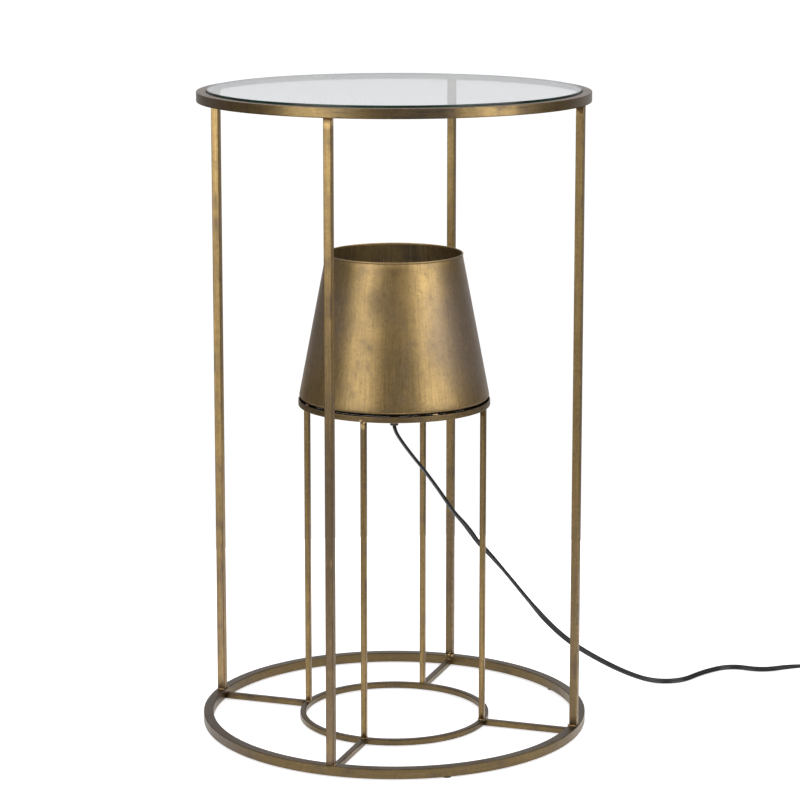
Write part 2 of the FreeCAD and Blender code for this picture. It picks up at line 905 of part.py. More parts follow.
def plug_body():
    """A flat moulded plug: narrow at the cord, full width at its face, edges rounded."""
    w = plug_width / 2
    t = plug_tail_width / 2
    start = plug_relief_length
    face = start + plug_length
    corners = [
        Vector(start, -t, 0), Vector(start + plug_shoulder, -w, 0), Vector(face, -w, 0),
        Vector(face, w, 0), Vector(start + plug_shoulder, w, 0), Vector(start, t, 0),
    ]
    body = Part.Face(Part.makePolygon(corners + corners[:1])).extrude(UP * plug_thickness)
    long_edges = [
        edge for edge in body.Edges
        if abs(edge.Vertexes[0].Z - edge.Vertexes[1].Z) < 1e-6
        and abs(edge.Vertexes[0].X - edge.Vertexes[1].X) > 1e-6
    ]
    body = body.makeChamfer(plug_edge, long_edges)
    for side in (-1, 1):
        body = body.cut(Part.makeCylinder(
            pin_diameter / 2, pin_seat,
            Vector(face - pin_seat, side * pin_spacing / 2, plug_axis), Vector(1, 0, 0),
        ))
    return body


def plug_relief():
    """The sleeve where the cord goes into the plug: collars that widen towards it."""
    end = plug_relief_end / 2
    root = min(plug_thickness, plug_tail_width) / 2 - 1
    pitch = plug_relief_length / plug_relief_steps
    outline = [(0, 0)]
    for index in range(plug_relief_steps):
        radius = end + (root - end) * index / (plug_relief_steps - 1)
        outline += [(radius, pitch * index), (radius, pitch * (index + 1))]
    outline.append((0, plug_relief_length))
    sleeve = lathe(outline)
    sleeve.rotate(ORIGIN, Vector(0, 1, 0), 90)
    sleeve.translate(Vector(0, 0, plug_axis))
    return sleeve


def plug_pins():
    """Two round pins with bevelled tips."""
    radius = pin_diameter / 2
    face = plug_relief_length + plug_length
    total = pin_seat + pin_length
    pins = []
    for side in (-1, 1):
        pin = Part.makeCylinder(
            radius, total, Vector(face - pin_seat, side * pin_spacing / 2, plug_axis), Vector(1, 0, 0)
        )
        tip = [edge for edge in pin.Edges if edge.Vertexes[0].X > face + 1 and edge.Closed]
        pins.append(pin.makeChamfer(pin_bevel, tip))
    return Part.makeCompound(pins)


def cord_tie():
    """A flat band round the coil's section at one place."""
    inner = coil_inner_radius - cord_radius - tie_clearance
    outer = coil_outer_radius + cord_radius + tie_clearance
    low = coil_lower_layer - cord_radius - tie_clearance
    high = coil_upper_layer + cord_radius + tie_clearance
    t = tie_thickness
    middle = (inner + outer) / 2
    band = block(outer - inner + 2 * t, tie_width, low - t, high + t, middle)
    band = band.cut(block(outer - inner, tie_width + 2, low, high, middle))
    return placed(band, tie_angle, coil_centre)


# ---------------------------------------------------------------- build


def write(node, shape):
    """One STEP file per node."""
    if not shape.isValid():
        raise ValueError(node + " isn't valid")
    shape.exportStep("parts/" + node + ".step")


def build():
    os.makedirs("parts", exist_ok=True)

    write("table_ring", table_ring())
    write("base_ring", base_ring())
    write("inner_base_ring", inner_base_ring())
    write("shade_ring", shade_ring())
    side_names = ("front", "right", "back", "left")
    for index, degrees in enumerate(post_angles()):
        side = side_names[index] if post_count == len(side_names) else str(index + 1)
        write("post_" + side, outer_post(degrees))
        write("inner_post_" + side, inner_post(degrees))
        write("spoke_" + side, spoke(degrees))
    write("floor_pads", floor_pads())
    write("glass_tabs", glass_tabs())
    write("glass_bumpers", glass_bumpers())
    write("glass_top", glass_top())

    write("shade", shade())
    write("shade_tacks", shade_tacks())
    write("holder_carrier", holder_carrier())
    write("threaded_tube", threaded_tube())
    write("lock_nut", lock_nut())
    write("cord_gland", cord_gland())
    write("holder_cap", holder_cap())
    write("holder_sleeve", holder_sleeve())
    write("holder_insert", holder_insert())
    write("screw_shell", screw_shell())
    write("centre_contact", centre_contact())
    write("cord_inside", cord_inside())
    write("bulb_glass", bulb_glass())
    write("bulb_cap", bulb_cap())
    write("bulb_tip_contact", bulb_tip_contact())

    write("cord_to_switch", cord_tube("cord_to_switch", cord_route))
    write("cord_lead", cord_tube("cord_lead", lead_route))
    edges = coil_edges()
    print_coil_gap(edges)
    coil_tangent = unit(polar(1, coil_heading))
    coil = tube_along("cord_coil", edges, Vector(*coil_entry), coil_tangent, COIL_SIDES)
    write("cord_coil", coil)
    write("cord_tail", cord_tube("cord_tail", tail_route))
    write("cord_tie", cord_tie())

    switch_parts = {
        "switch_lower_shell": switch_lower_shell(),
        "switch_upper_shell": switch_upper_shell(),
        "switch_rocker": switch_rocker(),
        "switch_contacts": switch_contacts(),
        "switch_cord_ends": switch_cord_ends(),
    }
    for node, shape in switch_parts.items():
        write(node, placed(shape, switch_heading, switch_start))

    plug_parts = {
        "plug_relief": plug_relief(),
        "plug_body": plug_body(),
        "plug_pins": plug_pins(),
    }
    for node, shape in plug_parts.items():
        write(node, placed(shape, plug_heading, plug_start))


build()
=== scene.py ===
import math
import bmesh
import bpy
import numpy as np
from bpy.props import FloatProperty, FloatVectorProperty, IntProperty, PointerProperty
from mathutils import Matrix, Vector


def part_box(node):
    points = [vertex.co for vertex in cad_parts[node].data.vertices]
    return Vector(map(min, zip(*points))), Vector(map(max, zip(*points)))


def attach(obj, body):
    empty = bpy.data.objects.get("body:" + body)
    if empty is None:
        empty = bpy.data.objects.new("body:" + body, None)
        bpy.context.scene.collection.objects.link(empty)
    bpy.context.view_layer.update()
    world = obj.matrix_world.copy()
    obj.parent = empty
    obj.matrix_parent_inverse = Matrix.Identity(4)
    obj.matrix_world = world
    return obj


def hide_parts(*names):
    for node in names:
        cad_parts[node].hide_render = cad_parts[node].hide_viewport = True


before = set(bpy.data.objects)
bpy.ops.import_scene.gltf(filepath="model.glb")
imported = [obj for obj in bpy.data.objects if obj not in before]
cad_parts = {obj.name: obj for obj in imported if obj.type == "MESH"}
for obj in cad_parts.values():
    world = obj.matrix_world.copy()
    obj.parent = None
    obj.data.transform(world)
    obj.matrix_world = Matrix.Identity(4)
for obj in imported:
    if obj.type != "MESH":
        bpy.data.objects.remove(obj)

# A round side table with an uplight inside it.  Shapes are worked out in millimetres and put
# into the meshes in metres.  The origin is on the floor, on the axis of the rings; the posts
# stand at -Y (front), +X (right), +Y (back) and -X (left).

bl_info = {
    "name": "Floor lamp with table",
    "version": (1, 0, 0),
    "blender": (4, 5, 0),
    "location": "3D View > Sidebar > Lamp",
    "description": "Dresses the packed floor lamp with table: metal, glass, cord and stage",
    "category": "Object",
}

MM = 0.001
TURN = 2 * math.pi
UP = np.array((0.0, 0.0, 1.0))
DEGREES_A_RADIAN = 57.3  # rounded
FLOOR_RADIUS = 645.0  # millimetres
CAMERA_SIDE = 18.513  # degrees from -Y towards +X
CAMERA_RISE = 9.881  # degrees above level
CAMERA_LENS = 121.73  # millimetres, before a 36 mm sensor
CAMERA_DISTANCE = 2.776889  # metres from what it aims at
SIDES = (("front", -90.0), ("right", 0.0), ("back", 90.0), ("left", 180.0))


def cad(node, corner, axis):
    """One coordinate of a CAD node's box: corner 0 is the lowest, 1 the highest."""
    return float(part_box(node)[corner][axis])


def heights(node):
    """How low and how high a CAD node reaches, in millimetres."""
    return tuple(cad(node, corner, 2) / MM for corner in (0, 1))


# ---------------------------------------------------------------- what a user may change


def length(name, description, default):
    """A length property in metres."""
    return FloatProperty(
        name=name, description=description, default=default, unit="LENGTH", precision=4, min=0.0)


def tint(name, description, default):
    """A colour property."""
    return FloatVectorProperty(
        name=name, description=description, default=default, subtype="COLOR", size=3,
        min=0.0, max=1.0)


class LampSizes(bpy.types.PropertyGroup):
    """Sizes of the frame, the shade and the cord."""

    frame_radius: length(
        "Frame radius", "Outside radius of the two large rings", cad("table_ring", 1, 0))
    table_height: length(
        "Table height", "Floor to the top of the table ring", cad("table_ring", 1, 2))
    ring_bar: length("Ring bar", "Side of the large rings' square bar", 0.010)
    post_bar: length("Post bar", "Side of the four outer posts", 0.008)
    inner_radius: length(
        "Inner radius", "Outside radius of the two small rings", cad("shade_ring", 1, 0))
    small_bar: length("Small bar", "Side of the small rings' bar and of the spokes", 0.006)
    inner_post_bar: length("Inner post bar", "Side of the four inner posts", 0.0055)
    corner: length("Corner radius", "Rounding along the edges of the bars", 0.0007)
    shade_sheet: length("Shade sheet", "Thickness of the shade's metal", 0.001)
    cord_width: length("Cord width", "Width of the flat two-core cord", 0.0056)
    cord_thickness: length("Cord thickness", "Thickness of the flat cord", 0.0034)
    weld_size: length("Weld size", "Radius of a weld bead", 0.0009)
    ring_steps: IntProperty(
        name="Ring steps", description="Segments round a large ring", default=288, min=24)


class LampColours(bpy.types.PropertyGroup):
    """Colours of the metal, the glass, the plastics and the floor."""

    # brass_bright, brass_dark and brass_mauve also carry painted light: the highlights, shade and
    # reflection of the marks, the upper faces and the edges.
    brass_bright: tint("Brass, bright", "Where the brass is rubbed clean", (0.56, 0.385, 0.155))
    brass_olive: tint(
        "Brass, aged", "The aged brass over most of the frame", (0.335, 0.232, 0.096))
    brass_dark: tint("Brass, dark", "Brown patina in the hollows", (0.085, 0.060, 0.040))
    brass_mauve: tint("Brass, mauve", "Grey-mauve bloom on the patina", (0.265, 0.212, 0.178))
    glass: tint("Glass", "Clear glass of the table top", (0.965, 0.98, 0.982))
    # The glass edge's green is the glass's own; its near-black depth is painted shade.
    glass_edge: tint("Glass edge", "Green in the edge of the glass", (0.004, 0.022, 0.014))
    cord: tint("Cord", "Black cord sheath", (0.002, 0.002, 0.0025))
    plastic: tint("Plastic", "Black plastic of the switch and the plug", (0.011, 0.011, 0.012))
    floor: tint("Floor", "Plain pale floor", (0.90, 0.90, 0.90))


def sizes():
    """The size properties of the scene."""
    return bpy.context.scene.lamp_sizes


def colours():
    """The colour properties of the scene."""
    return bpy.context.scene.lamp_colours


def mm(name):
    """One size in millimetres."""
    return getattr(sizes(), name) / MM


# ---------------------------------------------------------------- surfaces from grids


def unit(vectors):
    """Vectors at length one."""
    return vectors / np.linalg.norm(vectors, axis=-1, keepdims=True)


def polar(radius, degrees, height=0.0):
    """The point, or one for each angle given, at a radius and an angle from +X, at a height."""
    a = np.radians(degrees)
    return np.stack(
        np.broadcast_arrays(radius * np.cos(a), radius * np.sin(a), height), axis=-1)


def skin(points, around=False, ends=False, worn=None, turned_uv=False):
    """Faces over a grid of points, rows by columns.

    around joins the last column to the first, and ends closes the first and last rows with a
    face each.  The UV map is the mean distance walked along the rows and along the columns.
    """
    points = np.asarray(points, dtype=float)
    rows, columns = points.shape[:2]
    worn = np.zeros((rows, columns)) if worn is None else np.broadcast_to(worn, (rows, columns))
    if around:
        points = np.concatenate([points, points[:, :1]], axis=1)
        worn = np.concatenate([worn, worn[:, :1]], axis=1)
        columns += 1
    down = np.linalg.norm(np.diff(points, axis=0), axis=2).mean(axis=1)
    over = np.linalg.norm(np.diff(points, axis=1), axis=2).mean(axis=0)
    u = np.concatenate([[0.0], np.cumsum(down)]) * MM
    v = np.concatenate([[0.0], np.cumsum(over)]) * MM
    uv = np.stack(np.meshgrid(u, v, indexing="ij"), axis=-1)
    if turned_uv:
        uv = uv[..., ::-1]
    index = np.arange(rows * columns).reshape(rows, columns)
    quads = np.stack(
        [index[:-1, :-1], index[1:, :-1], index[1:, 1:], index[:-1, 1:]], axis=-1)
    faces = quads.reshape(-1, 4).tolist()
    if ends:
        last = columns - 1 if around else columns
        faces.append(index[0, :last].tolist())
        faces.append(index[-1, :last][::-1].tolist())
    return {
        "points": points.reshape(-1, 3),
        "faces": outward(points.reshape(-1, 3), faces),
        "uv": uv.reshape(-1, 2),
        "worn": worn.reshape(-1),
    }


def outward(points, faces):
    """The faces, turned over if the shape they enclose has a negative volume."""
    quads = np.array([face for face in faces if len(face) == 4])
    corners = points[quads] - points.mean(axis=0)
    first = np.cross(corners[:, 0], corners[:, 1])
    second = np.cross(corners[:, 0], corners[:, 2])
    volume = (first * corners[:, 2]).sum() + (second * corners[:, 3]).sum()
    return [face[::-1] for face in faces] if volume < 0 else faces


def moved(part, shift):
    """A copy of a part of a mesh, moved."""
    return {**part, "points": part["points"] + np.asarray(shift, dtype=float)}


def riding(name, mesh, replaces, body):
    """A mesh's object, which rides on a body and stands for the CAD nodes it replaces."""
    thing = bpy.data.objects.new(name, mesh)
    bpy.context.scene.collection.objects.link(thing)
    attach(thing, body)
    if replaces:
        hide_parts(*replaces)
    return thing


def piece(name, parts, finishes, replaces=(), body="root", pick=None):
    """One object from parts of a mesh, with seams and poles merged, riding on a body.

    pick takes the middles of the faces and gives the number of the finish for each.
    """
    points = np.concatenate([part["points"] for part in parts])
    uv = np.concatenate([part["uv"] for part in parts])
    worn = np.concatenate([part["worn"] for part in parts])
    faces = []
    base = 0
    for part in parts:
        faces += [[corner + base for corner in face] for face in part["faces"]]
        base += len(part["points"])
    mesh = bpy.data.meshes.new(name)
    mesh.from_pydata((points * MM).tolist(), [], faces)
    corner_of = np.empty(len(mesh.loops), dtype=np.int32)
    mesh.loops.foreach_get("vertex_index", corner_of)
    layer = mesh.uv_layers.new(name="UVMap")
    layer.data.foreach_set("uv", uv[corner_of].astype(np.float32).ravel())
    wear = mesh.attributes.new("worn", "FLOAT", "POINT")
    wear.data.foreach_set("value", worn.astype(np.float32))
    work = bmesh.new()
    work.from_mesh(mesh)
    bmesh.ops.remove_doubles(work, verts=work.verts, dist=2e-6)
    work.to_mesh(mesh)
    work.free()
    mesh.shade_smooth()
    for finish in finishes:
        mesh.materials.append(finish)
    if pick is not None:
        middles = np.empty(3 * len(mesh.polygons), dtype=np.float32)
        mesh.polygons.foreach_get("center", middles)
        chosen = pick(middles.reshape(-1, 3) / MM).astype(np.int32)
        mesh.polygons.foreach_set("material_index", chosen)
    return riding(name, mesh, replaces, body)


def corner_places(mesh):
    """Where a mesh's points are, in metres."""
    places = np.empty(3 * len(mesh.vertices), dtype=np.float32)
    mesh.vertices.foreach_get("co", places)
    return places.reshape(-1, 3).astype(float)


def softened(name, node, finish, width, body="root", tidied=None):
    """A copy of a CAD node's shape, its loose triangles joined and its edges rounded by a bevel.

    tidied takes the copy's corners as an array in metres and returns them moved.  The UV of a
    point is (x, y + z).
    """
    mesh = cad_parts[node].data.copy()
    mesh.name = name
    work = bmesh.new()
    work.from_mesh(mesh)
    bmesh.ops.remove_doubles(work, verts=work.verts, dist=1e-6)
    bmesh.ops.dissolve_limit(
        work, angle_limit=math.radians(0.2), verts=work.verts, edges=work.edges)
    if tidied:
        places = tidied(np.array([corner.co for corner in work.verts]))
        for corner, place in zip(work.verts, places.tolist()):
            corner.co = place
        bmesh.ops.remove_doubles(work, verts=work.verts, dist=3e-4)
    bmesh.ops.recalc_face_normals(work, faces=work.faces)
    work.to_mesh(mesh)
    work.free()
    corner_of = np.empty(len(mesh.loops), dtype=np.int32)
    mesh.loops.foreach_get("vertex_index", corner_of)
    x, y, z = corner_places(mesh)[corner_of].T
    layer = mesh.uv_layers.active or mesh.uv_layers.new(name="UVMap")
    layer.data.foreach_set("uv", np.stack([x, y + z], axis=-1).astype(np.float32).ravel())
    mesh.shade_smooth()
    mesh.materials.clear()
    mesh.materials.append(finish)
    thing = riding(name, mesh, (node,), body)
    bevel = thing.modifiers.new("rounded_edges", "BEVEL")
    bevel.width = width * MM
    bevel.segments = 3
    bevel.limit_method = "ANGLE"
    bevel.angle_limit = math.radians(48)
    bevel.harden_normals = True
    bevel.loop_slide = False
    return thing


def refinish(node, finish):
    """A CAD node keeps its shape and takes a better finish."""
    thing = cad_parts[node]
    if not thing.material_slots:
        thing.data.materials.append(finish)
    for place in thing.material_slots:
        place.material = finish


def soften(corners, radius, closed=True, steps=4, support=0.35):
    """An outline with its corners rounded.

    Each corner becomes a curve (1-s)^2 A + 2s(1-s) C + s^2 B between points A and B, which lie
    one radius (or 45% of the shorter side) from the corner C.  Gives the outline's points and
    how worn each is: 1 on a rounded corner, less beside it, 0 on the flats.
    """
    corners = np.asarray(corners, dtype=float)
    radii = np.broadcast_to(radius, len(corners))
    points = []
    worn = []
    s = np.linspace(0.0, 1.0, steps + 1)[:, None]
    for index, corner in enumerate(corners):
        if not closed and index in (0, len(corners) - 1):
            points.append(corner[None])
            worn.append([0.0])
            continue
        before = corners[index - 1] - corner
        after = corners[(index + 1) % len(corners)] - corner
        reach_in = np.linalg.norm(before)
        reach_out = np.linalg.norm(after)
        reach = min(radii[index], 0.45 * reach_in, 0.45 * reach_out)
        start = corner + before / reach_in * reach
        finish = corner + after / reach_out * reach
        near = corner + before / reach_in * min(reach + support, 0.49 * reach_in)
        beyond = corner + after / reach_out * min(reach + support, 0.49 * reach_out)
        curve = (1 - s) ** 2 * start + 2 * s * (1 - s) * corner + s ** 2 * finish
        points += [near[None], curve, beyond[None]]
        worn += [[0.25], [1.0] * len(s), [0.25]]
    return np.concatenate(points), np.concatenate(worn)


def rectangle(width, height):
    """Corners of a rectangle about the origin."""
    w, h = width / 2, height / 2
    return [(-w, -h), (w, -h), (w, h), (-w, h)]


def turned(outline, worn=None, steps=96, closed=False, turned_uv=False):
    """An outline of (radius, height) carried round Z: x = r cos a, y = r sin a, z = height."""
    outline = np.asarray(outline, dtype=float)
    angle = np.linspace(0.0, TURN, steps + 1)[:, None]
    radius, height = outline[:, 0], outline[:, 1]
    points = np.stack([
        np.cos(angle) * radius, np.sin(angle) * radius,
        np.broadcast_to(height, (steps + 1, len(height)))], axis=-1)
    return skin(points, around=closed, worn=worn, turned_uv=turned_uv)


def swept(section, path, across, upward, worn=None, ends=True):
    """A closed section carried along a path: point = path + x * across + y * upward."""
    path = np.asarray(path, dtype=float)
    across = np.broadcast_to(np.asarray(across, dtype=float), path.shape)
    upward = np.broadcast_to(np.asarray(upward, dtype=float), path.shape)
    section = np.asarray(section, dtype=float)
    if section.ndim == 2:
        section = np.broadcast_to(section, (len(path), *section.shape))
    points = (
        path[:, None]
        + section[..., :1] * across[:, None]
        + section[..., 1:] * upward[:, None])
    return skin(points, around=True, ends=ends, worn=worn)


def laid(part, heading, start, height):
    """A part turned about Z, laid down so that its Z runs along a level heading."""
    x, y, z = part["points"].T
    points = (
        np.asarray((*start, height)) + z[:, None] * polar(1.0, heading)
        + x[:, None] * polar(1.0, heading + 90.0) + y[:, None] * UP)
    return {**part, "points": points}


def lofted(stations, heading, start, height, columns=40):
    """A body along a level line: at each (x, half width, half height, power) its section is
    the superellipse |y / w|^p + |z / h|^p = 1.
    """
    stations = np.asarray(stations, dtype=float)
    a = np.linspace(0.0, TURN, columns, endpoint=False)
    power = 2.0 / stations[:, 3:4]
    y = np.sign(np.cos(a)) * np.abs(np.cos(a)) ** power * stations[:, 1:2]
    z = np.sign(np.sin(a)) * np.abs(np.sin(a)) ** power * stations[:, 2:3]
    along = polar(1.0, heading)
    path = np.asarray((*start, height)) + stations[:, :1] * along
    return swept(np.stack([y, z], axis=-1), path, polar(1.0, heading + 90.0), UP)


def straight_bar(side, start, end, across, upward, rows=40):
    """A square bar with rounded edges between two points."""
    outline, worn = soften(rectangle(side, side), mm("corner") * 0.9)
    path = np.linspace(start, end, rows)
    return swept(outline, path, across, upward, worn)


def ring_piece(name, node, radius, bar, underside, finish, steps, pick=None):
    """A ring of square bar with rounded edges; pick chooses where it is painted nearly black as
    shade.
    """
    outline, worn = soften(
        [(radius - bar, underside), (radius, underside), (radius, underside + bar),
         (radius - bar, underside + bar)], mm("corner"))
    return piece(
        name, [turned(outline, worn, steps, closed=True)],
        [finish] if pick is None else [finish, painted_crevice_shade(name + "_wax")], (node,),
        pick=pick)


def thread(before, radius, depth, pitch, low, high, after, closed=False, steps=64):
    """A turned outline with a thread between two fixed stretches of (radius, height).

    On the thread, radius = R - depth * (1 + cos(2 pi z / pitch - a)) / 2, fading in and out
    over one pitch at its ends.
    """
    angle = np.linspace(0.0, TURN, steps + 1)[:, None]
    z = np.linspace(low, high, int((high - low) / pitch * 9) + 2)[None, :]
    fade = np.clip(np.minimum(z - low, high - z) / pitch, 0.0, 1.0)
    r = radius - depth * fade * (1.0 + np.cos(TURN * z / pitch - angle)) / 2

    def still(outline):
        outline = np.asarray(outline, dtype=float).reshape(-1, 2)
        return np.broadcast_to(outline, (steps + 1, *outline.shape))

    middle = np.stack([r, np.broadcast_to(z, r.shape)], axis=-1)
    outline = np.concatenate([still(before), middle, still(after)], axis=1)
    radius, height = outline[..., 0], outline[..., 1]
    points = np.stack([np.cos(angle) * radius, np.sin(angle) * radius, height], axis=-1)
    return skin(points, around=closed)


def ribbed(part, low, high, inside, count, depth):
    """Upright ribs: beyond a radius and between two heights, r = r - depth (1 - cos n a) / 2."""
    points = part["points"].copy()
    radius = np.hypot(points[:, 0], points[:, 1])
    angle = np.arctan2(points[:, 1], points[:, 0])
    there = (points[:, 2] > low) & (points[:, 2] < high) & (radius > inside)
    cut = depth * (1.0 - np.cos(count * angle)) / 2 * there
    points[:, :2] *= (1.0 - cut / np.maximum(radius, 1e-6))[:, None]
    return {**part, "points": points}


def hexagon(flats, bore, low, high):
    """A nut: at angle a from the middle of the nearest flat, its side is at flats / 2 / cos a.

    cap is the radius of its rounded top and bottom faces.
    """
    angle = np.linspace(0.0, TURN, 97)[:, None]
    from_flat = (angle + math.pi / 6) % (math.pi / 3) - math.pi / 6
    side = flats / 2 / np.cos(from_flat)
    cap = flats / 2 * 1.02
    levels = [
        (low, bore), (low, cap), (low + 0.55, np.inf), (high - 0.55, np.inf), (high, cap),
        (high, bore)]
    points = []
    for height, most in levels:
        r = np.full_like(angle, bore) if most == bore else np.minimum(side, most)
        points.append(
            np.concatenate([np.cos(angle) * r, np.sin(angle) * r, 0 * r + height], axis=1))
    return skin(np.stack(points, axis=1), around=True)


def blob(centre, radii, seed, rows=7, columns=10):
    """A small lump: an ellipsoid whose radius swells and shrinks by a few sine waves."""
    chance = np.random.default_rng(seed)
    tilt = np.linspace(0.0, math.pi, rows)[:, None]
    spin = np.linspace(0.0, TURN, columns, endpoint=False)[None, :]
    wave = 1.0 + 0.13 * np.sin(tilt) * np.sin(2 * spin + chance.uniform(0, TURN))
    wave = wave + 0.09 * np.sin(tilt) ** 2 * np.sin(3 * spin + 2 * tilt + chance.uniform(0, TURN))
    points = np.stack([
        wave * np.sin(tilt) * np.cos(spin) * radii[0],
        wave * np.sin(tilt) * np.sin(spin) * radii[1],
        np.cos(tilt) * radii[2] * np.ones_like(spin)], axis=-1)
    return skin(points + np.asarray(centre, dtype=float), around=True)


def weld_bead(start, end, radius, seed):
    """A run of weld: a round bead whose radius ripples |sin| along it and dies at both ends."""
    chance = np.random.default_rng(seed)
    start, end = np.asarray(start, dtype=float), np.asarray(end, dtype=float)
    run = np.linalg.norm(end - start)
    count = max(14, int(run * 6))
    s = np.linspace(0.0, 1.0, count)
    path = start + (end - start) * s[:, None]
    ripple = np.abs(np.sin(math.pi * s * run / 1.1 + chance.uniform(0, math.pi)))
    swell = np.sqrt(np.clip(1.0 - np.abs(2 * s - 1.0) ** 6, 0.0, 1.0)) * (0.72 + 0.28 * ripple)
    swell = swell * (1.0 + 0.15 * np.sin(TURN * s * 1.7 + chance.uniform(0, TURN)))
    along = unit(end - start)
    across = unit(np.cross(along, UP if abs(along[2]) < 0.9 else np.array((1.0, 0.0, 0.0))))
    angle = np.linspace(0.0, TURN, 10, endpoint=False)
    ring = np.stack([np.cos(angle), np.sin(angle)], axis=-1) * radius
    return swept(swell[:, None, None] * ring, path, across, np.cross(along, across))


# ---------------------------------------------------------------- finishes


class Number:
    """A number that varies over a surface.  Arithmetic on it adds Math nodes."""

    def __init__(self, finish, socket):
        self.finish = finish
        self.socket = socket

    def using(self, operation, *values, clamp=False):
        """The result of one Math node."""
        node = self.finish.add(
            "ShaderNodeMath", {"operation": operation, "use_clamp": clamp},
            dict(enumerate(values)))
        return Number(self.finish, node.outputs[0])

    def __add__(self, other):
        return self.using("ADD", self, other)

    def __radd__(self, other):
        return self.using("ADD", other, self)

    def __sub__(self, other):
        return self.using("SUBTRACT", self, other)

    def __rsub__(self, other):
        return self.using("SUBTRACT", other, self)

    def __mul__(self, other):
        return self.using("MULTIPLY", self, other)

    def __rmul__(self, other):
        return self.using("MULTIPLY", other, self)

    def clipped(self):
        """The number held between 0 and 1."""
        return self.using("ADD", self, 0.0, clamp=True)

    def between(self, low, high):
        """0 below low, 1 above high, and a straight rise between."""
        return ((self - low) * (1.0 / (high - low))).clipped()


class Nodes:
    """A node tree being filled: nodes, their links, and patterns made of them."""

    def add(self, kind, settings=None, inputs=None):
        """A node: its settings are set first, then the values or links of its sockets."""
        node = self.tree.nodes.new(kind)
        for key, value in (settings or {}).items():
            setattr(node, key, value)
        for key, value in (inputs or {}).items():
            self.feed(node.inputs[key], value)
        return node

    def feed(self, socket, value):
        """A number, a colour or a link put on a socket."""
        if isinstance(value, Number):
            value = value.socket
        if isinstance(value, bpy.types.NodeSocket):
            self.tree.links.new(value, socket)
        elif socket.type == "RGBA":
            socket.default_value = (*tuple(value)[:3], 1.0)
        else:
            socket.default_value = value

    def place(self, source, scale, shift=(0.0, 0.0, 0.0)):
        """Coordinates from Object or UV, scaled and shifted."""
        node = self.add("ShaderNodeMapping", {}, {
            "Vector": self.coordinates.outputs[source], "Scale": scale, "Location": shift})
        return node.outputs[0]

    def noise(self, source, scale, detail=3.0, roughness=0.5, shift=(0.0, 0.0, 0.0)):
        """Soft random variation about 0.5, with so many waves a metre along each axis."""
        scale = scale if isinstance(scale, tuple) else (scale, scale, scale)
        node = self.add("ShaderNodeTexNoise", {}, {
            "Vector": self.place(source, scale, shift), "Scale": 1.0, "Detail": detail,
            "Roughness": roughness})
        return Number(self, node.outputs[0])

    def spots(self, source, scale, reach):
        """1 at the middle of scattered spots, falling to 0 at their reach."""
        node = self.add("ShaderNodeTexVoronoi", {}, {
            "Vector": self.place(source, (scale, scale, scale)), "Scale": 1.0})
        return 1.0 - Number(self, node.outputs["Distance"]).between(0.0, reach)

    def near(self, place, reach):
        """1 at a place given in millimetres, falling to 0 at a reach from it."""
        node = self.add("ShaderNodeVectorMath", {"operation": "DISTANCE"}, {
            0: self.coordinates.outputs["Object"], 1: tuple(MM * part for part in place)})
        return 1.0 - Number(self, node.outputs["Value"]).between(0.45 * reach * MM, reach * MM)

    def worn(self):
        """How worn the surface is, as the piece's own attribute says."""
        node = self.add("ShaderNodeAttribute", {"attribute_name": "worn"})
        return Number(self, node.outputs["Fac"])

    def facing_up(self):
        """1 on level upper faces, 0 on upright ones and below."""
        node = self.add("ShaderNodeNewGeometry")
        parts = self.add("ShaderNodeSeparateXYZ", {}, {0: node.outputs["True Normal"]})
        return Number(self, parts.outputs["Z"]).between(0.55, 0.9)

    def mix(self, share, first, second):
        """One colour going over to another."""
        node = self.add(
            "ShaderNodeMix", {"data_type": "RGBA"}, {0: share, 6: first, 7: second})
        return node.outputs[2]

    def bump(self, height, distance, strength=1.0):
        """A normal from a height in millimetres."""
        node = self.add("ShaderNodeBump", {}, {
            "Height": height, "Distance": distance * MM, "Strength": strength})
        return node.outputs[0]


class Finish(Nodes):
    """A material being made: a Principled shader and the patterns that feed it."""

    def __init__(self, name, **fixed):
        self.material = bpy.data.materials.new(name)
        self.material.use_nodes = True
        self.tree = self.material.node_tree
        self.tree.nodes.clear()
        inputs = {key.replace("_", " "): value for key, value in fixed.items()}
        self.shader = self.add("ShaderNodeBsdfPrincipled", {}, inputs)
        self.add("ShaderNodeOutputMaterial", {}, {"Surface": self.shader.outputs[0]})
        self.coordinates = self.add("ShaderNodeTexCoord")

    def set(self, **values):
        """What feeds the shader's sockets."""
        for key, value in values.items():
            self.feed(self.shader.inputs[key.replace("_", " ")], value)


class Studio(Nodes):
    """The world being made: the light that comes from each direction."""

    def __init__(self, name):
        self.world = bpy.data.worlds.new(name)
        self.world.use_nodes = True
        self.tree = self.world.node_tree
        self.tree.nodes.clear()
        self.coordinates = self.add("ShaderNodeTexCoord")

    def towards(self, direction):
        """The cosine between where the light comes from and a direction."""
        node = self.add("ShaderNodeVectorMath", {"operation": "DOT_PRODUCT"}, {
            0: self.coordinates.outputs["Generated"], 1: direction})
        return Number(self, node.outputs["Value"])


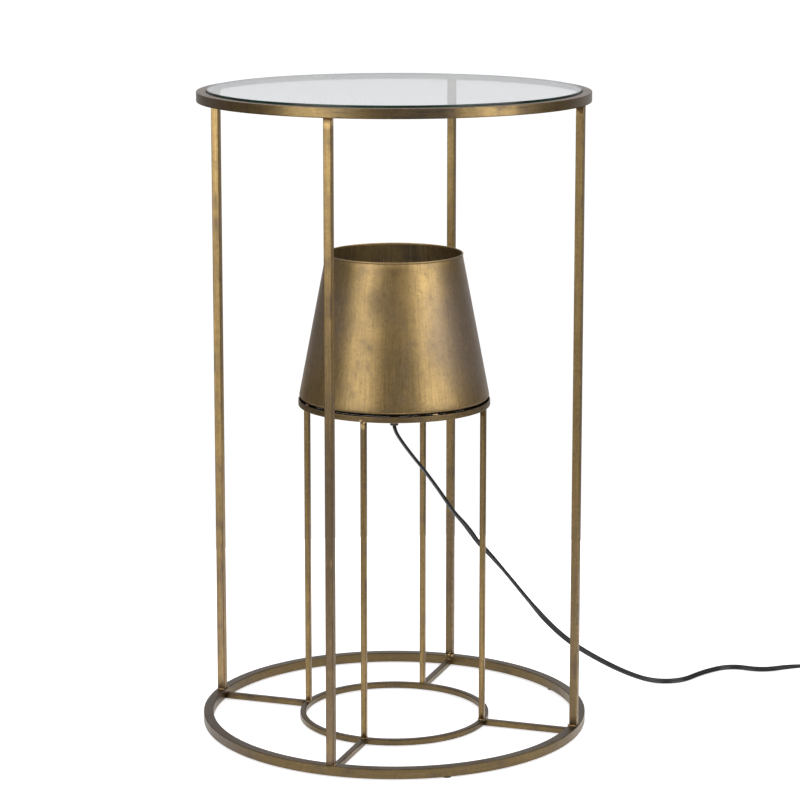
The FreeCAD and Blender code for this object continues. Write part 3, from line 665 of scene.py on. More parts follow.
def aged_brass(
        name, tone, gold, olive, mauve, streak, seed, roughness=0.40, dark=0.45, upper=0.6,
        rim=0.0, marks=(), coat=0.36):
    """Antique brass: long streaks, brown and mauve patina in blotches, pits and rubbed edges.

    tone scales every colour; the pieces take lit and shaded copies of the brass by it.  gold,
    olive and mauve set how much there is of the clean metal, of the brown over the aged colour,
    and of the bloom; dark holds the brown back.  streak is the number of waves a metre along the
    piece, and seed moves every pattern.  upper is how much painted shade greys the level upper
    faces, rim how much painted shade darkens the edges, and coat how waxed the metal is.  Each
    mark is (place in millimetres, reach in millimetres, "clean", "brown" or "mauve", strength):
    a painted highlight, painted shade or painted reflection at that place.
    """
    c = colours()
    bright, aged, brown_tone, mauve_tone = (
        tuple(tone * channel for channel in colour)
        for colour in (c.brass_bright, c.brass_olive, c.brass_dark, c.brass_mauve))
    f = Finish(name, Coat_Roughness=0.34, Coat_IOR=1.5)
    away = (seed * 1.7, seed * 2.3, seed * 3.1)
    long_streak = f.noise("UV", (streak, 520.0, 1.0), 5.0, 0.62, shift=away)
    fine_streak = f.noise("UV", (streak * 3.0, 1900.0, 1.0), 3.0, 0.6, shift=away)
    cloud = f.noise("Object", 42.0, 5.0, 0.6, shift=away)
    mottle = f.noise("Object", 300.0, 4.0, 0.62, shift=away)
    grain = f.noise("Object", 1500.0, 2.0, 0.6, shift=away)
    patch = f.noise("Object", 70.0, 2.0, 0.5, shift=away)
    pits = f.spots("Object", 330.0, 0.26) * patch.between(0.5, 0.66)
    scratch = f.noise("UV", (streak * 5.0, 2600.0, 1.0), 2.0, 0.5, shift=away).between(0.60, 0.70)
    scratch = scratch * (1.0 - patch).between(0.46, 0.60)
    run = f.noise("UV", (streak * 0.7, 130.0, 1.0), 5.0, 0.66, shift=away)
    aging = cloud * 0.8 + long_streak * 0.65 + mottle * 0.35 + (run - 0.5) * 0.6 + 0.1
    brown = aging.between(0.98 + dark * 0.2, 1.30 + dark * 0.2)
    bloom = (cloud * 0.5 + fine_streak * 0.5).between(0.60 - 0.22 * mauve, 0.86 - 0.22 * mauve)
    clean = (long_streak * 0.5 + fine_streak * 0.15 + (1.0 - cloud) * 0.35).between(
        0.64 - 0.25 * gold, 0.86 - 0.2 * gold)
    # Each mark paints light at its place: clean a painted highlight, brown painted shade, mauve a
    # painted reflection.
    for spot, reach, kind, strength in marks:
        there = f.near(spot, reach) * (0.55 + long_streak * 0.9) * strength
        if kind == "clean":
            clean = (clean + there).clipped()
        elif kind == "brown":
            brown = (brown + there).clipped()
        else:
            bloom = (bloom + there * (0.5 + mottle)).clipped()
    worn = f.worn()
    rubbed = (worn * (0.35 + mottle * 1.1) * (1.0 - rim)).between(0.55, 0.95)
    # Painted shade: the worn edges are darkened by rim, and lose some gloss and wax.
    painted_edge_shade = (worn * (0.75 + mottle * 0.45) * rim).clipped()
    # Painted shade: the level upper faces are greyed towards mauve, by upper.
    painted_top_shade = (f.facing_up() * (0.55 + mottle * 0.5) * upper).clipped()
    shade = f.mix(clean, aged, bright)
    shade = f.mix(bloom * 0.8, shade, mauve_tone)
    shade = f.mix(brown * olive, shade, brown_tone)
    shade = f.mix(painted_top_shade, shade, mauve_tone)
    shade = f.mix(painted_edge_shade, shade, tuple(0.5 * channel for channel in brown_tone))
    shade = f.mix((rubbed * 0.75 + scratch * 0.5).clipped(), shade, bright)
    shade = f.mix(pits * 0.8, shade, brown_tone)
    shade = f.mix(
        (mottle * 0.3 + fine_streak * 0.7).between(0.50, 0.64) * (1.0 - brown * 0.85) * 0.42,
        shade, bright)
    shade = f.mix((mottle * 0.5 + grain * 0.5).between(0.50, 0.38) * 0.30, shade, brown_tone)
    f.set(
        Base_Color=shade,
        Roughness=(roughness + brown * 0.18 + bloom * 0.10 + (grain - 0.5) * 0.16 + painted_edge_shade * 0.2
                   - rubbed * 0.12 - scratch * 0.1).clipped(),
        Metallic=0.96 - brown * 0.25 - bloom * 0.16,
        Coat_Weight=(coat - rubbed * 0.3 - painted_edge_shade * 0.3).clipped(),
        Normal=f.bump(
            (grain * 0.35 + mottle * 0.4 + fine_streak * 0.8 - pits * 1.6 - scratch * 0.8),
            0.06, 0.55))
    return f.material


def painted_crevice_shade(name):
    """Painted shade: a nearly black, matt finish for a crevice where shade falls."""
    return plastic(
        name, (0.012, 0.009, 0.006), roughness=0.95, grain=700.0, relief=0.03, shine=0.0)


def clear_glass(name):
    """The clear glass of the table top, with a trace of dust."""
    c = colours()
    f = Finish(
        name, Base_Color=c.glass, Transmission_Weight=1.0, IOR=1.5, Roughness=0.0)
    smear = f.noise("Object", 9.0, 4.0, 0.6).between(0.5, 0.8)
    f.set(Roughness=smear * 0.035)
    return f.material


def glass_edge(name):
    """The ground and polished edge of the disc: green, and painted nearly black as shade, darker
    than its faces.
    """
    c = colours()
    f = Finish(
        name, Base_Color=c.glass_edge, Transmission_Weight=0.25, IOR=1.5)
    drift = f.noise("Object", 35.0, 3.0, 0.5)
    f.set(
        Base_Color=f.mix(drift.between(0.4, 0.7), c.glass_edge, (0.02, 0.075, 0.05)),
        Roughness=0.08 + drift * 0.12)
    return f.material


def plastic(name, colour, roughness=0.42, grain=1400.0, relief=0.02, coat=0.0, shine=0.5):
    """Moulded plastic: a fine matt grain and faint handling marks."""
    f = Finish(name, Coat_Weight=coat, Specular_IOR_Level=shine)
    fine = f.noise("Object", grain, 3.0, 0.6)
    marks = f.noise("Object", 60.0, 4.0, 0.6)
    lighter = tuple(min(1.0, channel * 1.7 + 0.003) for channel in colour)
    f.set(
        Base_Color=f.mix(marks.between(0.45, 0.85) * 0.6, tuple(colour), lighter),
        Roughness=roughness + (marks - 0.5) * 0.18 + (fine - 0.5) * 0.08,
        Normal=f.bump(fine, relief, 0.6))
    return f.material


def bare_metal(name, light, dark, roughness=0.3, brushed=(60.0, 1500.0, 1.0), metallic=1.0):
    """Plated or turned metal with tool marks round it and a little tarnish."""
    f = Finish(name, Metallic=metallic)
    marks = f.noise("UV", brushed, 4.0, 0.6)
    tarnish = f.noise("Object", 120.0, 5.0, 0.6).between(0.48, 0.75)
    f.set(
        Base_Color=f.mix(tarnish * 0.7, light, dark),
        Roughness=roughness + tarnish * 0.2 + (marks - 0.5) * 0.14,
        Normal=f.bump(marks, 0.02, 0.5))
    return f.material


# ---------------------------------------------------------------- cords


# The routes of the CAD cords, in metres, with the hanging one's points moved by a few
# millimetres and some added, to give it the slight waves of a cord that came off a reel.
HANGING_ROUTE = [
    (0.0, 0.0, 0.3135), (0.0004, 0.0003, 0.3078), (0.0066, 0.0056, 0.2950),
    (0.0160, 0.0136, 0.2785), (0.0262, 0.0222, 0.2622), (0.0422, 0.0358, 0.2330),
    (0.0507, 0.0430, 0.2158), (0.0623, 0.0528, 0.1988), (0.0728, 0.0617, 0.1790),
    (0.0795, 0.0674, 0.1706), (0.0977, 0.0828, 0.1428), (0.1158, 0.0982, 0.1130),
    (0.1342, 0.1138, 0.0842), (0.1546, 0.1311, 0.0590), (0.1825, 0.1548, 0.0344),
    (0.2097, 0.1779, 0.0146), (0.2326, 0.1973, 0.00275), (0.262, 0.209, 0.00275),
    (0.277, 0.249, 0.00275), (0.301, 0.281, 0.00275), (0.338, 0.275, 0.00275),
    (0.368, 0.291, 0.006), (0.3985, 0.3045, 0.006),
]
# How far the flat cord has turned over, as (metres walked, degrees).
HANGING_TWIST = [
    (0.0, 0.0), (0.07, 5.0), (0.12, 12.0), (0.15, 42.0), (0.18, 42.0), (0.21, 8.0),
    (0.26, 18.0), (0.29, 72.0), (0.34, 84.0), (0.38, 110.0), (0.42, 128.0), (0.46, 136.0),
]
LEAD_ROUTE = [
    (0.45337, 0.32878, 0.006), (0.46617, 0.33445, 0.006), (0.4812, 0.3344, 0.0057),
    (0.4949, 0.3283, 0.0051), (0.5049, 0.3171, 0.0045),
]
TAIL_ROUTE = [
    (0.53, 0.2501, 0.005), (0.5386, 0.2319, 0.0032), (0.5462, 0.2155, 0.00685),
    (0.5515, 0.2025, 0.00685),
]
COIL_MIDDLE = (0.4805, 0.274)
COIL_START = 18.5  # degrees from +X
COIL_TURNS = 5
COIL_POINTS = 16  # in each turn
COIL_STRAIGHT = 0.0054  # metres that run straight before and after the turns


def coil_route():
    """Control points of the coil: two flat spirals, clockwise, in below and out above.

    With t the turns counted from its middle, radius = inner + pitch * |t|, and the height goes
    up one layer while t goes from -1/4 to 1/4.  The cord stands on edge, turn against turn.
    """
    t = np.linspace(-COIL_TURNS / 2, COIL_TURNS / 2, COIL_TURNS * COIL_POINTS + 1)
    radius = (0.0270 + 0.0036 * np.abs(t)) / 0.981
    angle = np.radians(COIL_START - 360.0 * (t + COIL_TURNS / 2))
    height = 0.0034 + 0.0058 * np.clip(2 * t + 0.5, 0.0, 1.0)
    x = COIL_MIDDLE[0] + radius * np.cos(angle)
    y = COIL_MIDDLE[1] + radius * np.sin(angle)
    return list(zip(x.tolist(), y.tolist(), height.tolist()))


def run_beside(point, distance):
    """A point before (negative) or after the coil, straight along its first tangent."""
    a = math.radians(COIL_START - 90.0)
    return (point[0] + distance * math.cos(a), point[1] + distance * math.sin(a), point[2])


def smooth_line(name, route):
    """Points along the NURBS spline that has the route as its control points, in metres."""
    curve = bpy.data.curves.new(name, "CURVE")
    curve.dimensions = "3D"
    curve.resolution_u = 12
    spline = curve.splines.new("NURBS")
    spline.points.add(len(route) - 1)
    for point, place in zip(spline.points, route):
        point.co = (*place, 1.0)
    spline.order_u = 3
    spline.use_endpoint_u = True
    holder = bpy.data.objects.new(name, curve)
    mesh = bpy.data.meshes.new_from_object(holder)
    line = corner_places(mesh)
    bpy.data.objects.remove(holder)
    bpy.data.curves.remove(curve)
    bpy.data.meshes.remove(mesh)
    return line


def cord_section():
    """Outline of a flat two-core cord: two round lobes with a shallow groove between them.

    x = w cos a; y = t sin a, flattened by a power below 1 and pinched where x is near 0.
    """
    a = np.linspace(0.0, TURN, 32, endpoint=False)
    x = np.cos(a)
    y = np.sign(np.sin(a)) * np.abs(np.sin(a)) ** 0.62
    y = y * (1.0 - 0.30 * np.exp(-(x / 0.16) ** 2))
    return np.stack([x * mm("cord_width") / 2, y * mm("cord_thickness") / 2], axis=-1)


def cord_sweep(line, twist):
    """The flat section carried along a line, lying flat where twist is 0 degrees.

    across is level and square to the line; twist turns the section about the line.
    """
    along = unit(np.gradient(line, axis=0))
    level = np.cross(along, UP)
    size = np.linalg.norm(level, axis=1)
    steep = size < 0.12
    first = int(np.argmax(~steep))
    level[steep] = level[first]
    level = unit(level)
    upward = np.cross(level, along)
    turn = np.radians(twist)[:, None]
    across = level * np.cos(turn) + upward * np.sin(turn)
    over = upward * np.cos(turn) - level * np.sin(turn)
    return swept(cord_section(), line / MM, across, over)


def distance_along(line):
    """How far along the line each of its points is."""
    step = np.linalg.norm(np.diff(line, axis=0), axis=1)
    return np.concatenate([[0.0], np.cumsum(step)])


def ease(x, start, end):
    """0 before start, 1 after end, and 3s^2 - 2s^3 between."""
    s = np.clip((x - start) / (end - start), 0.0, 1.0)
    return s * s * (3 - 2 * s)


# ---------------------------------------------------------------- operators


class LampOperator(bpy.types.Operator):
    """Shared by the steps that dress the lamp."""

    bl_options = {"REGISTER", "UNDO"}


class LAMP_OT_camera(LampOperator):
    """Set the camera about where the photograph was taken from"""

    bl_idname = "lamp.camera"
    bl_label = "Camera"

    def execute(self, context):
        azimuth = math.radians(CAMERA_SIDE)
        elevation = math.radians(CAMERA_RISE)
        back = Vector((
            math.sin(azimuth) * math.cos(elevation), -math.cos(azimuth) * math.cos(elevation),
            math.sin(elevation)))
        right = Vector((math.cos(azimuth), math.sin(azimuth), 0.0))
        data = bpy.data.cameras.new("camera")
        data.lens = CAMERA_LENS
        data.sensor_width = 36.0
        data.shift_y = -0.1
        data.clip_end = 50.0
        camera = bpy.data.objects.new("camera", data)
        aim = right * 0.00592 + Vector((0.0, 0.0, 0.423861))
        camera.location = aim + back * CAMERA_DISTANCE
        camera.rotation_euler = back.to_track_quat("Z", "Y").to_euler()
        bpy.context.scene.collection.objects.link(camera)
        bpy.context.scene.camera = camera
        return {"FINISHED"}


class LAMP_OT_stage(LampOperator):
    """Set the pale floor and the soft studio light"""

    bl_idname = "lamp.stage"
    bl_label = "Stage"

    def execute(self, context):
        view = bpy.context.scene.view_settings
        view.view_transform = "Standard"
        view.look = "None"
        self.floor()
        self.world()
        self.softbox("left_softbox", -44.0, 2.5, 1.3, (1.6, 2.3), 26.0, (1.0, 0.985, 0.96))
        self.softbox("right_softbox", 56.0, 2.5, 1.3, (2.1, 2.3), 33.0, (1.0, 0.985, 0.96))
        return {"FINISHED"}

    def floor(self):
        """A round plate under everything, as bright at its rim as what lies beyond it."""
        f = Finish("floor_plain", Base_Color=colours().floor, Emission_Strength=1.0)
        speck = f.noise("Object", 3.0, 2.0, 0.5)
        centre = self.beside(0.06, 0.12)
        away = f.add("ShaderNodeVectorMath", {"operation": "DISTANCE"}, {
            0: f.coordinates.outputs["Object"], 1: centre})
        rim = Number(f, away.outputs["Value"]).between(0.36, 0.63)
        f.set(
            Base_Color=f.mix(speck, tuple(colours().floor), (0.915, 0.915, 0.92)),
            Emission_Color=f.mix(rim, (0.58, 0.59, 0.605), (1.0, 1.0, 1.0)), Roughness=0.85)
        radius = np.linspace(0.0, FLOOR_RADIUS, 15)
        part = turned(np.stack([radius, 0.0 * radius], axis=-1), steps=96)
        part = moved(part, np.array(centre) / MM)
        mesh = bpy.data.meshes.new("floor")
        mesh.from_pydata((part["points"] * MM).tolist(), [], part["faces"])
        mesh.materials.append(f.material)
        floor = bpy.data.objects.new("floor", mesh)
        bpy.context.scene.collection.objects.link(floor)

    def beside(self, right, behind):
        """A point on the floor, so many metres to the right and behind, as the camera sees it."""
        a = math.radians(CAMERA_SIDE)
        return (
            right * math.cos(a) - behind * math.sin(a),
            right * math.sin(a) + behind * math.cos(a), 0.0)

    def world(self):
        """White behind what is seen; as light: pale behind and above, dim at the sides."""
        w = Studio("studio")
        bpy.context.scene.world = w.world
        back = w.towards(self.beside(0.10, 0.995))
        height = w.towards((0.0, 0.0, 1.0))
        wall = back.between(0.72, 0.95)
        front = (0.0 - back).between(0.2, 1.0)
        ceiling = height.between(0.35, 0.8)
        low = (0.0 - height).between(0.12, 0.3)
        around = 0.13 + wall * 0.52 * (1.0 - low) + front * 0.07
        strength = around * (1.0 - ceiling) + ceiling * 0.95
        lit = w.add("ShaderNodeBackground", {}, {
            0: w.mix(wall, (1.0, 0.95, 0.95), (0.95, 0.97, 1.0)), 1: strength})
        seen = w.add("ShaderNodeBackground", {}, {0: (1.0, 1.0, 1.0), 1: 1.05})
        path = w.add("ShaderNodeLightPath")
        clear = Number(w, path.outputs["Is Camera Ray"]) + Number(
            w, path.outputs["Is Transmission Ray"])
        choose = w.add("ShaderNodeMixShader", {}, {
            0: clear.clipped(), 1: lit.outputs[0], 2: seen.outputs[0]})
        w.add("ShaderNodeOutputWorld", {}, {0: choose.outputs[0]})

    def softbox(self, name, beside, distance, height, size, power, colour):
        """A large lamp, so many degrees to the right of the camera, aimed at the object."""
        a = math.radians(CAMERA_SIDE + beside)
        place = Vector((math.sin(a) * distance, -math.cos(a) * distance, height))
        data = bpy.data.lights.new(name, "AREA")
        data.shape = "RECTANGLE"
        data.size, data.size_y = size
        data.energy = power
        data.color = colour
        lamp = bpy.data.objects.new(name, data)
        lamp.location = place
        lamp.rotation_euler = (place - Vector((0, 0, 0.35))).to_track_quat("Z", "Y").to_euler()
        bpy.context.scene.collection.objects.link(lamp)


class LAMP_OT_table_frame(LampOperator):
    """Make the two large rings and the four outer posts"""

    bl_idname = "lamp.table_frame"
    bl_label = "Table frame"

    def execute(self, context):
        radius = mm("frame_radius")
        bar = mm("ring_bar")
        top = mm("table_height")
        steps = sizes().ring_steps
        foot = cad("base_ring", 0, 2) / MM
        # Painted light on the table ring, placed as the camera sees it: the clean marks are
        # painted highlights, the brown mark painted shade where the ring faces the camera, and the
        # mauve marks painted reflection at its two ends and on the far inner wall.  Its upper
        # faces take painted shade by upper.
        marks = [
            (polar(radius, -41.5, top - 5), 26.0, "clean", 1.3),
            (polar(radius, -91.5, top - 5), 70.0, "clean", 0.55),
            (polar(radius, -65.5, top - 5), 48.0, "brown", 0.7),
            (polar(radius, -147.5, top - 5), 85.0, "mauve", 0.95),
            (polar(radius, 6.5, top - 5), 90.0, "mauve", 0.95),
            (polar(radius - bar, 68.5, top - 6), 130.0, "mauve", 1.0),
            (polar(radius - bar, 148.5, top - 6), 130.0, "mauve", 1.0),
        ]
        upper = aged_brass(
            "brass_table_ring", tone=0.86, gold=0.55, olive=0.95, mauve=0.5, streak=9.0, seed=1.0,
            roughness=0.31, dark=0.35, upper=0.95, rim=0.35, marks=marks)
        # Painted light on the base ring: the mauve mark is painted reflection at its left end, and
        # its low tone makes it a darker, shaded copy of the brass.
        marks = [
            (polar(radius, -146.5, foot + 5), 120.0, "mauve", 0.9),
        ]
        lower = aged_brass(
            "brass_base_ring", tone=0.42, gold=0.4, olive=1.0, mauve=0.4, streak=9.0, seed=2.0,
            roughness=0.36, dark=0.35, upper=0.7, rim=0.4, marks=marks, coat=0.2)
        ring_piece("table_ring_bar", "table_ring", radius, bar, top - bar, upper, steps)
        ring_piece("base_ring_bar", "base_ring", radius, bar, foot, lower, steps)
        # Lit and shaded copies of the brass: each post's tone is painted light or shade, each
        # brown mark paints it darker towards its foot, and rim paints shade along its edges, less
        # on the back and right posts.
        lit_and_shaded_tones = {"front": 1.46, "right": 1.00, "back": 0.92, "left": 1.72}
        for index, (side, degrees) in enumerate(SIDES):
            marks = [(polar(radius, degrees, 60.0), 470.0, "brown", 1.25)]
            if side != "front":
                marks = [(polar(radius, degrees, 20.0), 300.0, "brown", 0.75)]
            edge = 0.3 if side in ("back", "right") else 0.6
            finish = aged_brass(
                "brass_post_" + side, tone=lit_and_shaded_tones[side], gold=0.7, olive=0.8, mauve=0.4, streak=7.0,
                seed=3.0 + index, roughness=0.36, dark=0.45, upper=0.6, rim=edge, marks=marks,
                coat=0.16)
            low = polar(radius - bar / 2, degrees, foot + bar)
            high = polar(radius - bar / 2, degrees, top - bar)
            post = straight_bar(
                mm("post_bar"), low, high, polar(1, degrees), polar(1, degrees + 90), rows=60)
            piece("post_" + side + "_bar", [post], [finish], ("post_" + side,))
        return {"FINISHED"}


class LAMP_OT_inner_frame(LampOperator):
    """Make the two small rings, the four inner posts and the four spokes"""

    bl_idname = "lamp.inner_frame"
    bl_label = "Inner frame"

    def execute(self, context):
        radius = mm("inner_radius")
        bar = mm("small_bar")
        thin = mm("inner_post_bar")
        foot = cad("inner_base_ring", 0, 2) / MM
        carrying = cad("shade_ring", 0, 2) / MM
        outer = mm("frame_radius") - mm("ring_bar")
        # Lit and shaded copies of the brass: the small ring and spokes near the floor take dark
        # tones as painted shade, the shade ring and inner posts lighter ones.
        lower = aged_brass(
            "brass_inner_ring", tone=0.39, gold=0.4, olive=1.0, mauve=0.4, streak=10.0, seed=11.0,
            roughness=0.36, dark=0.35, upper=0.7, rim=0.4, coat=0.2)
        upper = aged_brass(
            "brass_shade_ring", tone=0.80, gold=0.55, olive=0.9, mauve=0.5, streak=10.0, seed=12.0,
            roughness=0.36, dark=0.4, upper=0.8, rim=0.4)
        steps = 192
        ring_piece("inner_base_ring_bar", "inner_base_ring", radius, bar, foot, lower, steps)
        # On the shade ring's top, under the shade, the second finish paints shade nearly black.
        ring_piece(
            "shade_ring_bar", "shade_ring", radius, bar, carrying, upper, steps,
            pick=lambda middles: (middles[:, 2] > carrying + bar - 0.02) & (
                np.hypot(middles[:, 0], middles[:, 1]) < radius - 1.5))
        posts = aged_brass(
            "brass_inner_posts", tone=0.90, gold=0.6, olive=0.85, mauve=0.35, streak=8.0,
            seed=13.0, roughness=0.37, dark=0.4, upper=0.6, rim=0.6, coat=0.16)
        spokes = aged_brass(
            "brass_spokes", tone=0.46, gold=0.4, olive=0.95, mauve=0.4, streak=10.0, seed=14.0,
            roughness=0.38, dark=0.3, upper=0.6, rim=0.4, coat=0.2)
        for side, degrees in SIDES:
            low = polar(radius - bar / 2, degrees, foot + bar)
            high = polar(radius - bar / 2, degrees, carrying)
            post = straight_bar(
                thin, low, high, polar(1, degrees), polar(1, degrees + 90), rows=40)
            piece(
                "inner_post_" + side + "_bar", [post], [posts], ("inner_post_" + side,))
            near = polar(radius - 0.06, degrees, foot + bar / 2)
            far = polar(outer, degrees, foot + bar / 2)
            spoke = straight_bar(bar, near, far, polar(1, degrees + 90), UP, rows=20)
            piece(
                "spoke_" + side + "_bar", [spoke], [spokes], ("spoke_" + side,))
        return {"FINISHED"}


class LAMP_OT_welds(LampOperator):
    """Run the weld beads at the joints, the tacks under the shade, and a little spatter"""

    bl_idname = "lamp.welds"
    bl_label = "Welds"

    def execute(self, context):
        weld = bare_metal(
            "weld_bead", (0.50, 0.37, 0.20), (0.10, 0.075, 0.06), roughness=0.42,
            brushed=(200.0, 900.0, 1.0), metallic=0.85)
        outer = mm("frame_radius") - mm("ring_bar") / 2
        inner = mm("inner_radius") - mm("small_bar") / 2
        size = mm("weld_size")
        base = cad("base_ring", 1, 2) / MM
        small = cad("inner_base_ring", 1, 2) / MM
        table = cad("table_ring", 0, 2) / MM
        carrying = cad("shade_ring", 0, 2) / MM
        joints = [
            (outer, mm("post_bar"), base, size), (outer, mm("post_bar"), table, size),
            (inner, mm("inner_post_bar"), small, size * 0.75),
            (inner, mm("inner_post_bar"), carrying, size * 0.75),
        ]
        parts = []
        seed = 20
        for _, degrees in SIDES:
            radial = polar(1, degrees)
            tangent = polar(1, degrees + 90)
            for reach, bar, height, radius in joints:
                for hand in (-1, 1):
                    middle = radial * reach + UP * height + tangent * hand * bar / 2
                    half = radial * (bar / 2 - radius * 0.5)
                    parts.append(weld_bead(middle - half, middle + half, radius, seed))
                    seed += 1
            for reach in (mm("inner_radius"), mm("frame_radius") - mm("ring_bar")):
                middle = radial * reach + UP * (small - 0.15)
                half = tangent * (mm("small_bar") / 2 - 0.7)
                parts.append(weld_bead(middle - half, middle + half, size * 0.7, seed))
                seed += 1
        piece("weld_beads", parts, [weld])
        self.tacks(weld)
        self.spatter(weld)
        return {"FINISHED"}

    def tacks(self, weld):
        """Four short runs of weld between the small upper ring and the shade."""
        radius = 97.6  # of the middle of the tacks
        low, high = heights("shade_tacks")
        parts = []
        for index in range(4):
            degrees = 43.5 + 90.0 * index
            along = np.linspace(-1.9, 1.9, 22)
            path = polar(radius, degrees + along, (low + high) / 2)
            outward_way = unit(path * np.array((1.0, 1.0, 0.0)))
            swell = np.sqrt(np.clip(1.0 - np.abs(along / 1.95) ** 5, 0.02, 1.0))
            swell = swell * (0.92 + 0.08 * np.abs(np.sin(along * 3.1 + index)))
            a = np.linspace(0.0, TURN, 12, endpoint=False)
            ring = np.stack([np.cos(a) * 0.85, np.sin(a) * (high - low) * 0.56], axis=-1)
            parts.append(swept(swell[:, None, None] * ring, path, outward_way, UP))
        piece("shade_tack_welds", parts, [weld], ("shade_tacks",))

    def spatter(self, weld):
        """Small lumps of metal thrown out near the joints."""
        chance = np.random.default_rng(5)
        outer = mm("frame_radius") - mm("ring_bar") / 2
        inner = mm("inner_radius") - mm("small_bar") / 2
        base = cad("base_ring", 1, 2) / MM
        small = cad("inner_base_ring", 1, 2) / MM
        parts = []
        for reach, bar, top, count in ((outer, 10.0, base, 9), (inner, 6.0, small, 6)):
            for _, degrees in SIDES:
                spread = chance.normal(0.0, 7.0, count) / reach * DEGREES_A_RADIAN
                side = chance.uniform(-0.4, 0.4, count) * bar
                size = chance.uniform(0.18, 0.55, count)
                for a, r, s in zip(spread, side, size):
                    centre = polar(reach + r, degrees + a, top + s * 0.1)
                    parts.append(blob(centre, (s, s * 0.9, s * 0.6), seed=5, rows=5, columns=7))
        # Larger lumps, as (distance from the axis, degrees, height, radius): at the back post, the
        # right inner post, the right post, the front inner post and the left post.
        lumps = [
            (outer - 4.6, 90.0, base + 1.0, 1.5), (outer - 4.3, 88.9, base + 0.2, 1.7),
            (outer - 4.8, 91.0, base + 0.6, 1.2), (outer - 4.4, 89.6, base + 3.4, 0.9),
            (inner - 2.9, -1.2, small + 0.4, 1.1), (inner + 0.4, -2.6, small + 0.3, 1.2),
            (inner - 2.4, 1.5, small + 1.9, 0.8), (inner + 3.2, -1.6, small - 0.2, 1.0),
            (outer - 4.2, -1.2, base + 0.5, 1.5), (outer - 4.4, 0.6, base + 2.0, 1.1),
            (inner + 2.7, -91.4, 338.0, 1.9), (inner + 2.9, -89.2, 336.2, 1.5),
            (outer - 4.4, 179.0, base + 0.6, 1.3),
        ]
        for index, (reach, degrees, height, size) in enumerate(lumps):
            radii = (size, size * 0.85, size * 0.8)
            parts.append(blob(polar(reach, degrees, height), radii, seed=8 + index))
        piece("weld_spatter", parts, [weld])


class LAMP_OT_table_top(LampOperator):
    """Lay the glass disc on its tabs and bumpers"""

    bl_idname = "lamp.table_top"
    bl_label = "Table top"

    def execute(self, context):
        radius = cad("glass_top", 1, 0) / MM
        low, high = heights("glass_top")
        outline, worn = soften(
            [(0.0, low), (radius, low), (radius, high), (0.0, high)], 0.9, closed=False, steps=5)
        piece(
            "glass_disc", [turned(outline, worn, sizes().ring_steps)],
            [clear_glass("table_glass"), glass_edge("table_glass_edge")],
            ("glass_top",), body="glass_top",
            pick=lambda middles: np.hypot(middles[:, 0], middles[:, 1]) > radius - 1.0)
        brass = aged_brass(
            "brass_tabs", tone=0.7, gold=0.3, olive=1.0, mauve=0.5, streak=20.0, seed=21.0,
            roughness=0.4, dark=0.3)
        tab_low, tab_high = heights("glass_tabs")
        wall = mm("frame_radius") - mm("ring_bar")
        outline, worn = soften(rectangle(12.0, tab_high - tab_low), 0.5)
        tabs = []
        pads = []
        for index in range(4):
            degrees = 45.0 + 90.0 * index
            level = (tab_low + tab_high) / 2
            path = np.linspace(polar(wall - 11.0, degrees, level), polar(wall, degrees, level), 8)
            narrow = np.array([0.86, 0.95, 1, 1, 1, 1, 1, 1])[:, None, None]
            tabs.append(swept(outline * narrow, path, polar(1, degrees + 90), UP, worn))
            bead_ends = polar(wall - 0.1, degrees + np.array((-1.5, 1.5)), tab_low)
            tabs.append(weld_bead(*bead_ends, radius=0.8, seed=60 + index))
            dome, _ = soften(
                [(0.0, tab_high), (3.9, tab_high), (3.6, tab_high + 0.72), (0.0, low)], 0.3,
                closed=False)
            pads.append(moved(turned(dome, steps=28), polar(wall - 5.5, degrees)))
        piece("glass_tab_plates", tabs, [brass], ("glass_tabs",))
        clear = Finish(
            "clear_bumper", Base_Color=(0.88, 0.90, 0.90), Transmission_Weight=0.85, IOR=1.42,
            Roughness=0.18)
        clear.set(Roughness=0.12 + clear.noise("Object", 500.0, 3.0, 0.5) * 0.2)
        piece(
            "glass_bumper_domes", pads, [clear.material], ("glass_bumpers",))
        return {"FINISHED"}


class LAMP_OT_floor_pads(LampOperator):
    """Stick the black pads under the base ring"""

    bl_idname = "lamp.floor_pads"
    bl_label = "Floor pads"

    def execute(self, context):
        rubber = plastic("pad_rubber", (0.02, 0.02, 0.02), roughness=0.7, grain=900.0, relief=0.05)
        outline, worn = soften(
            [(0.0, 0.0), (4.3, 0.0), (4.5, 1.5), (0.0, 1.5)], 0.35, closed=False)
        reach = mm("frame_radius") - mm("ring_bar") / 2
        pads = [
            moved(turned(outline, worn, steps=40), polar(reach, degrees))
            for degrees in (-56.0, 47.3, 178.0)]
        piece("floor_pad_discs", pads, [rubber], ("floor_pads",))
        return {"FINISHED"}


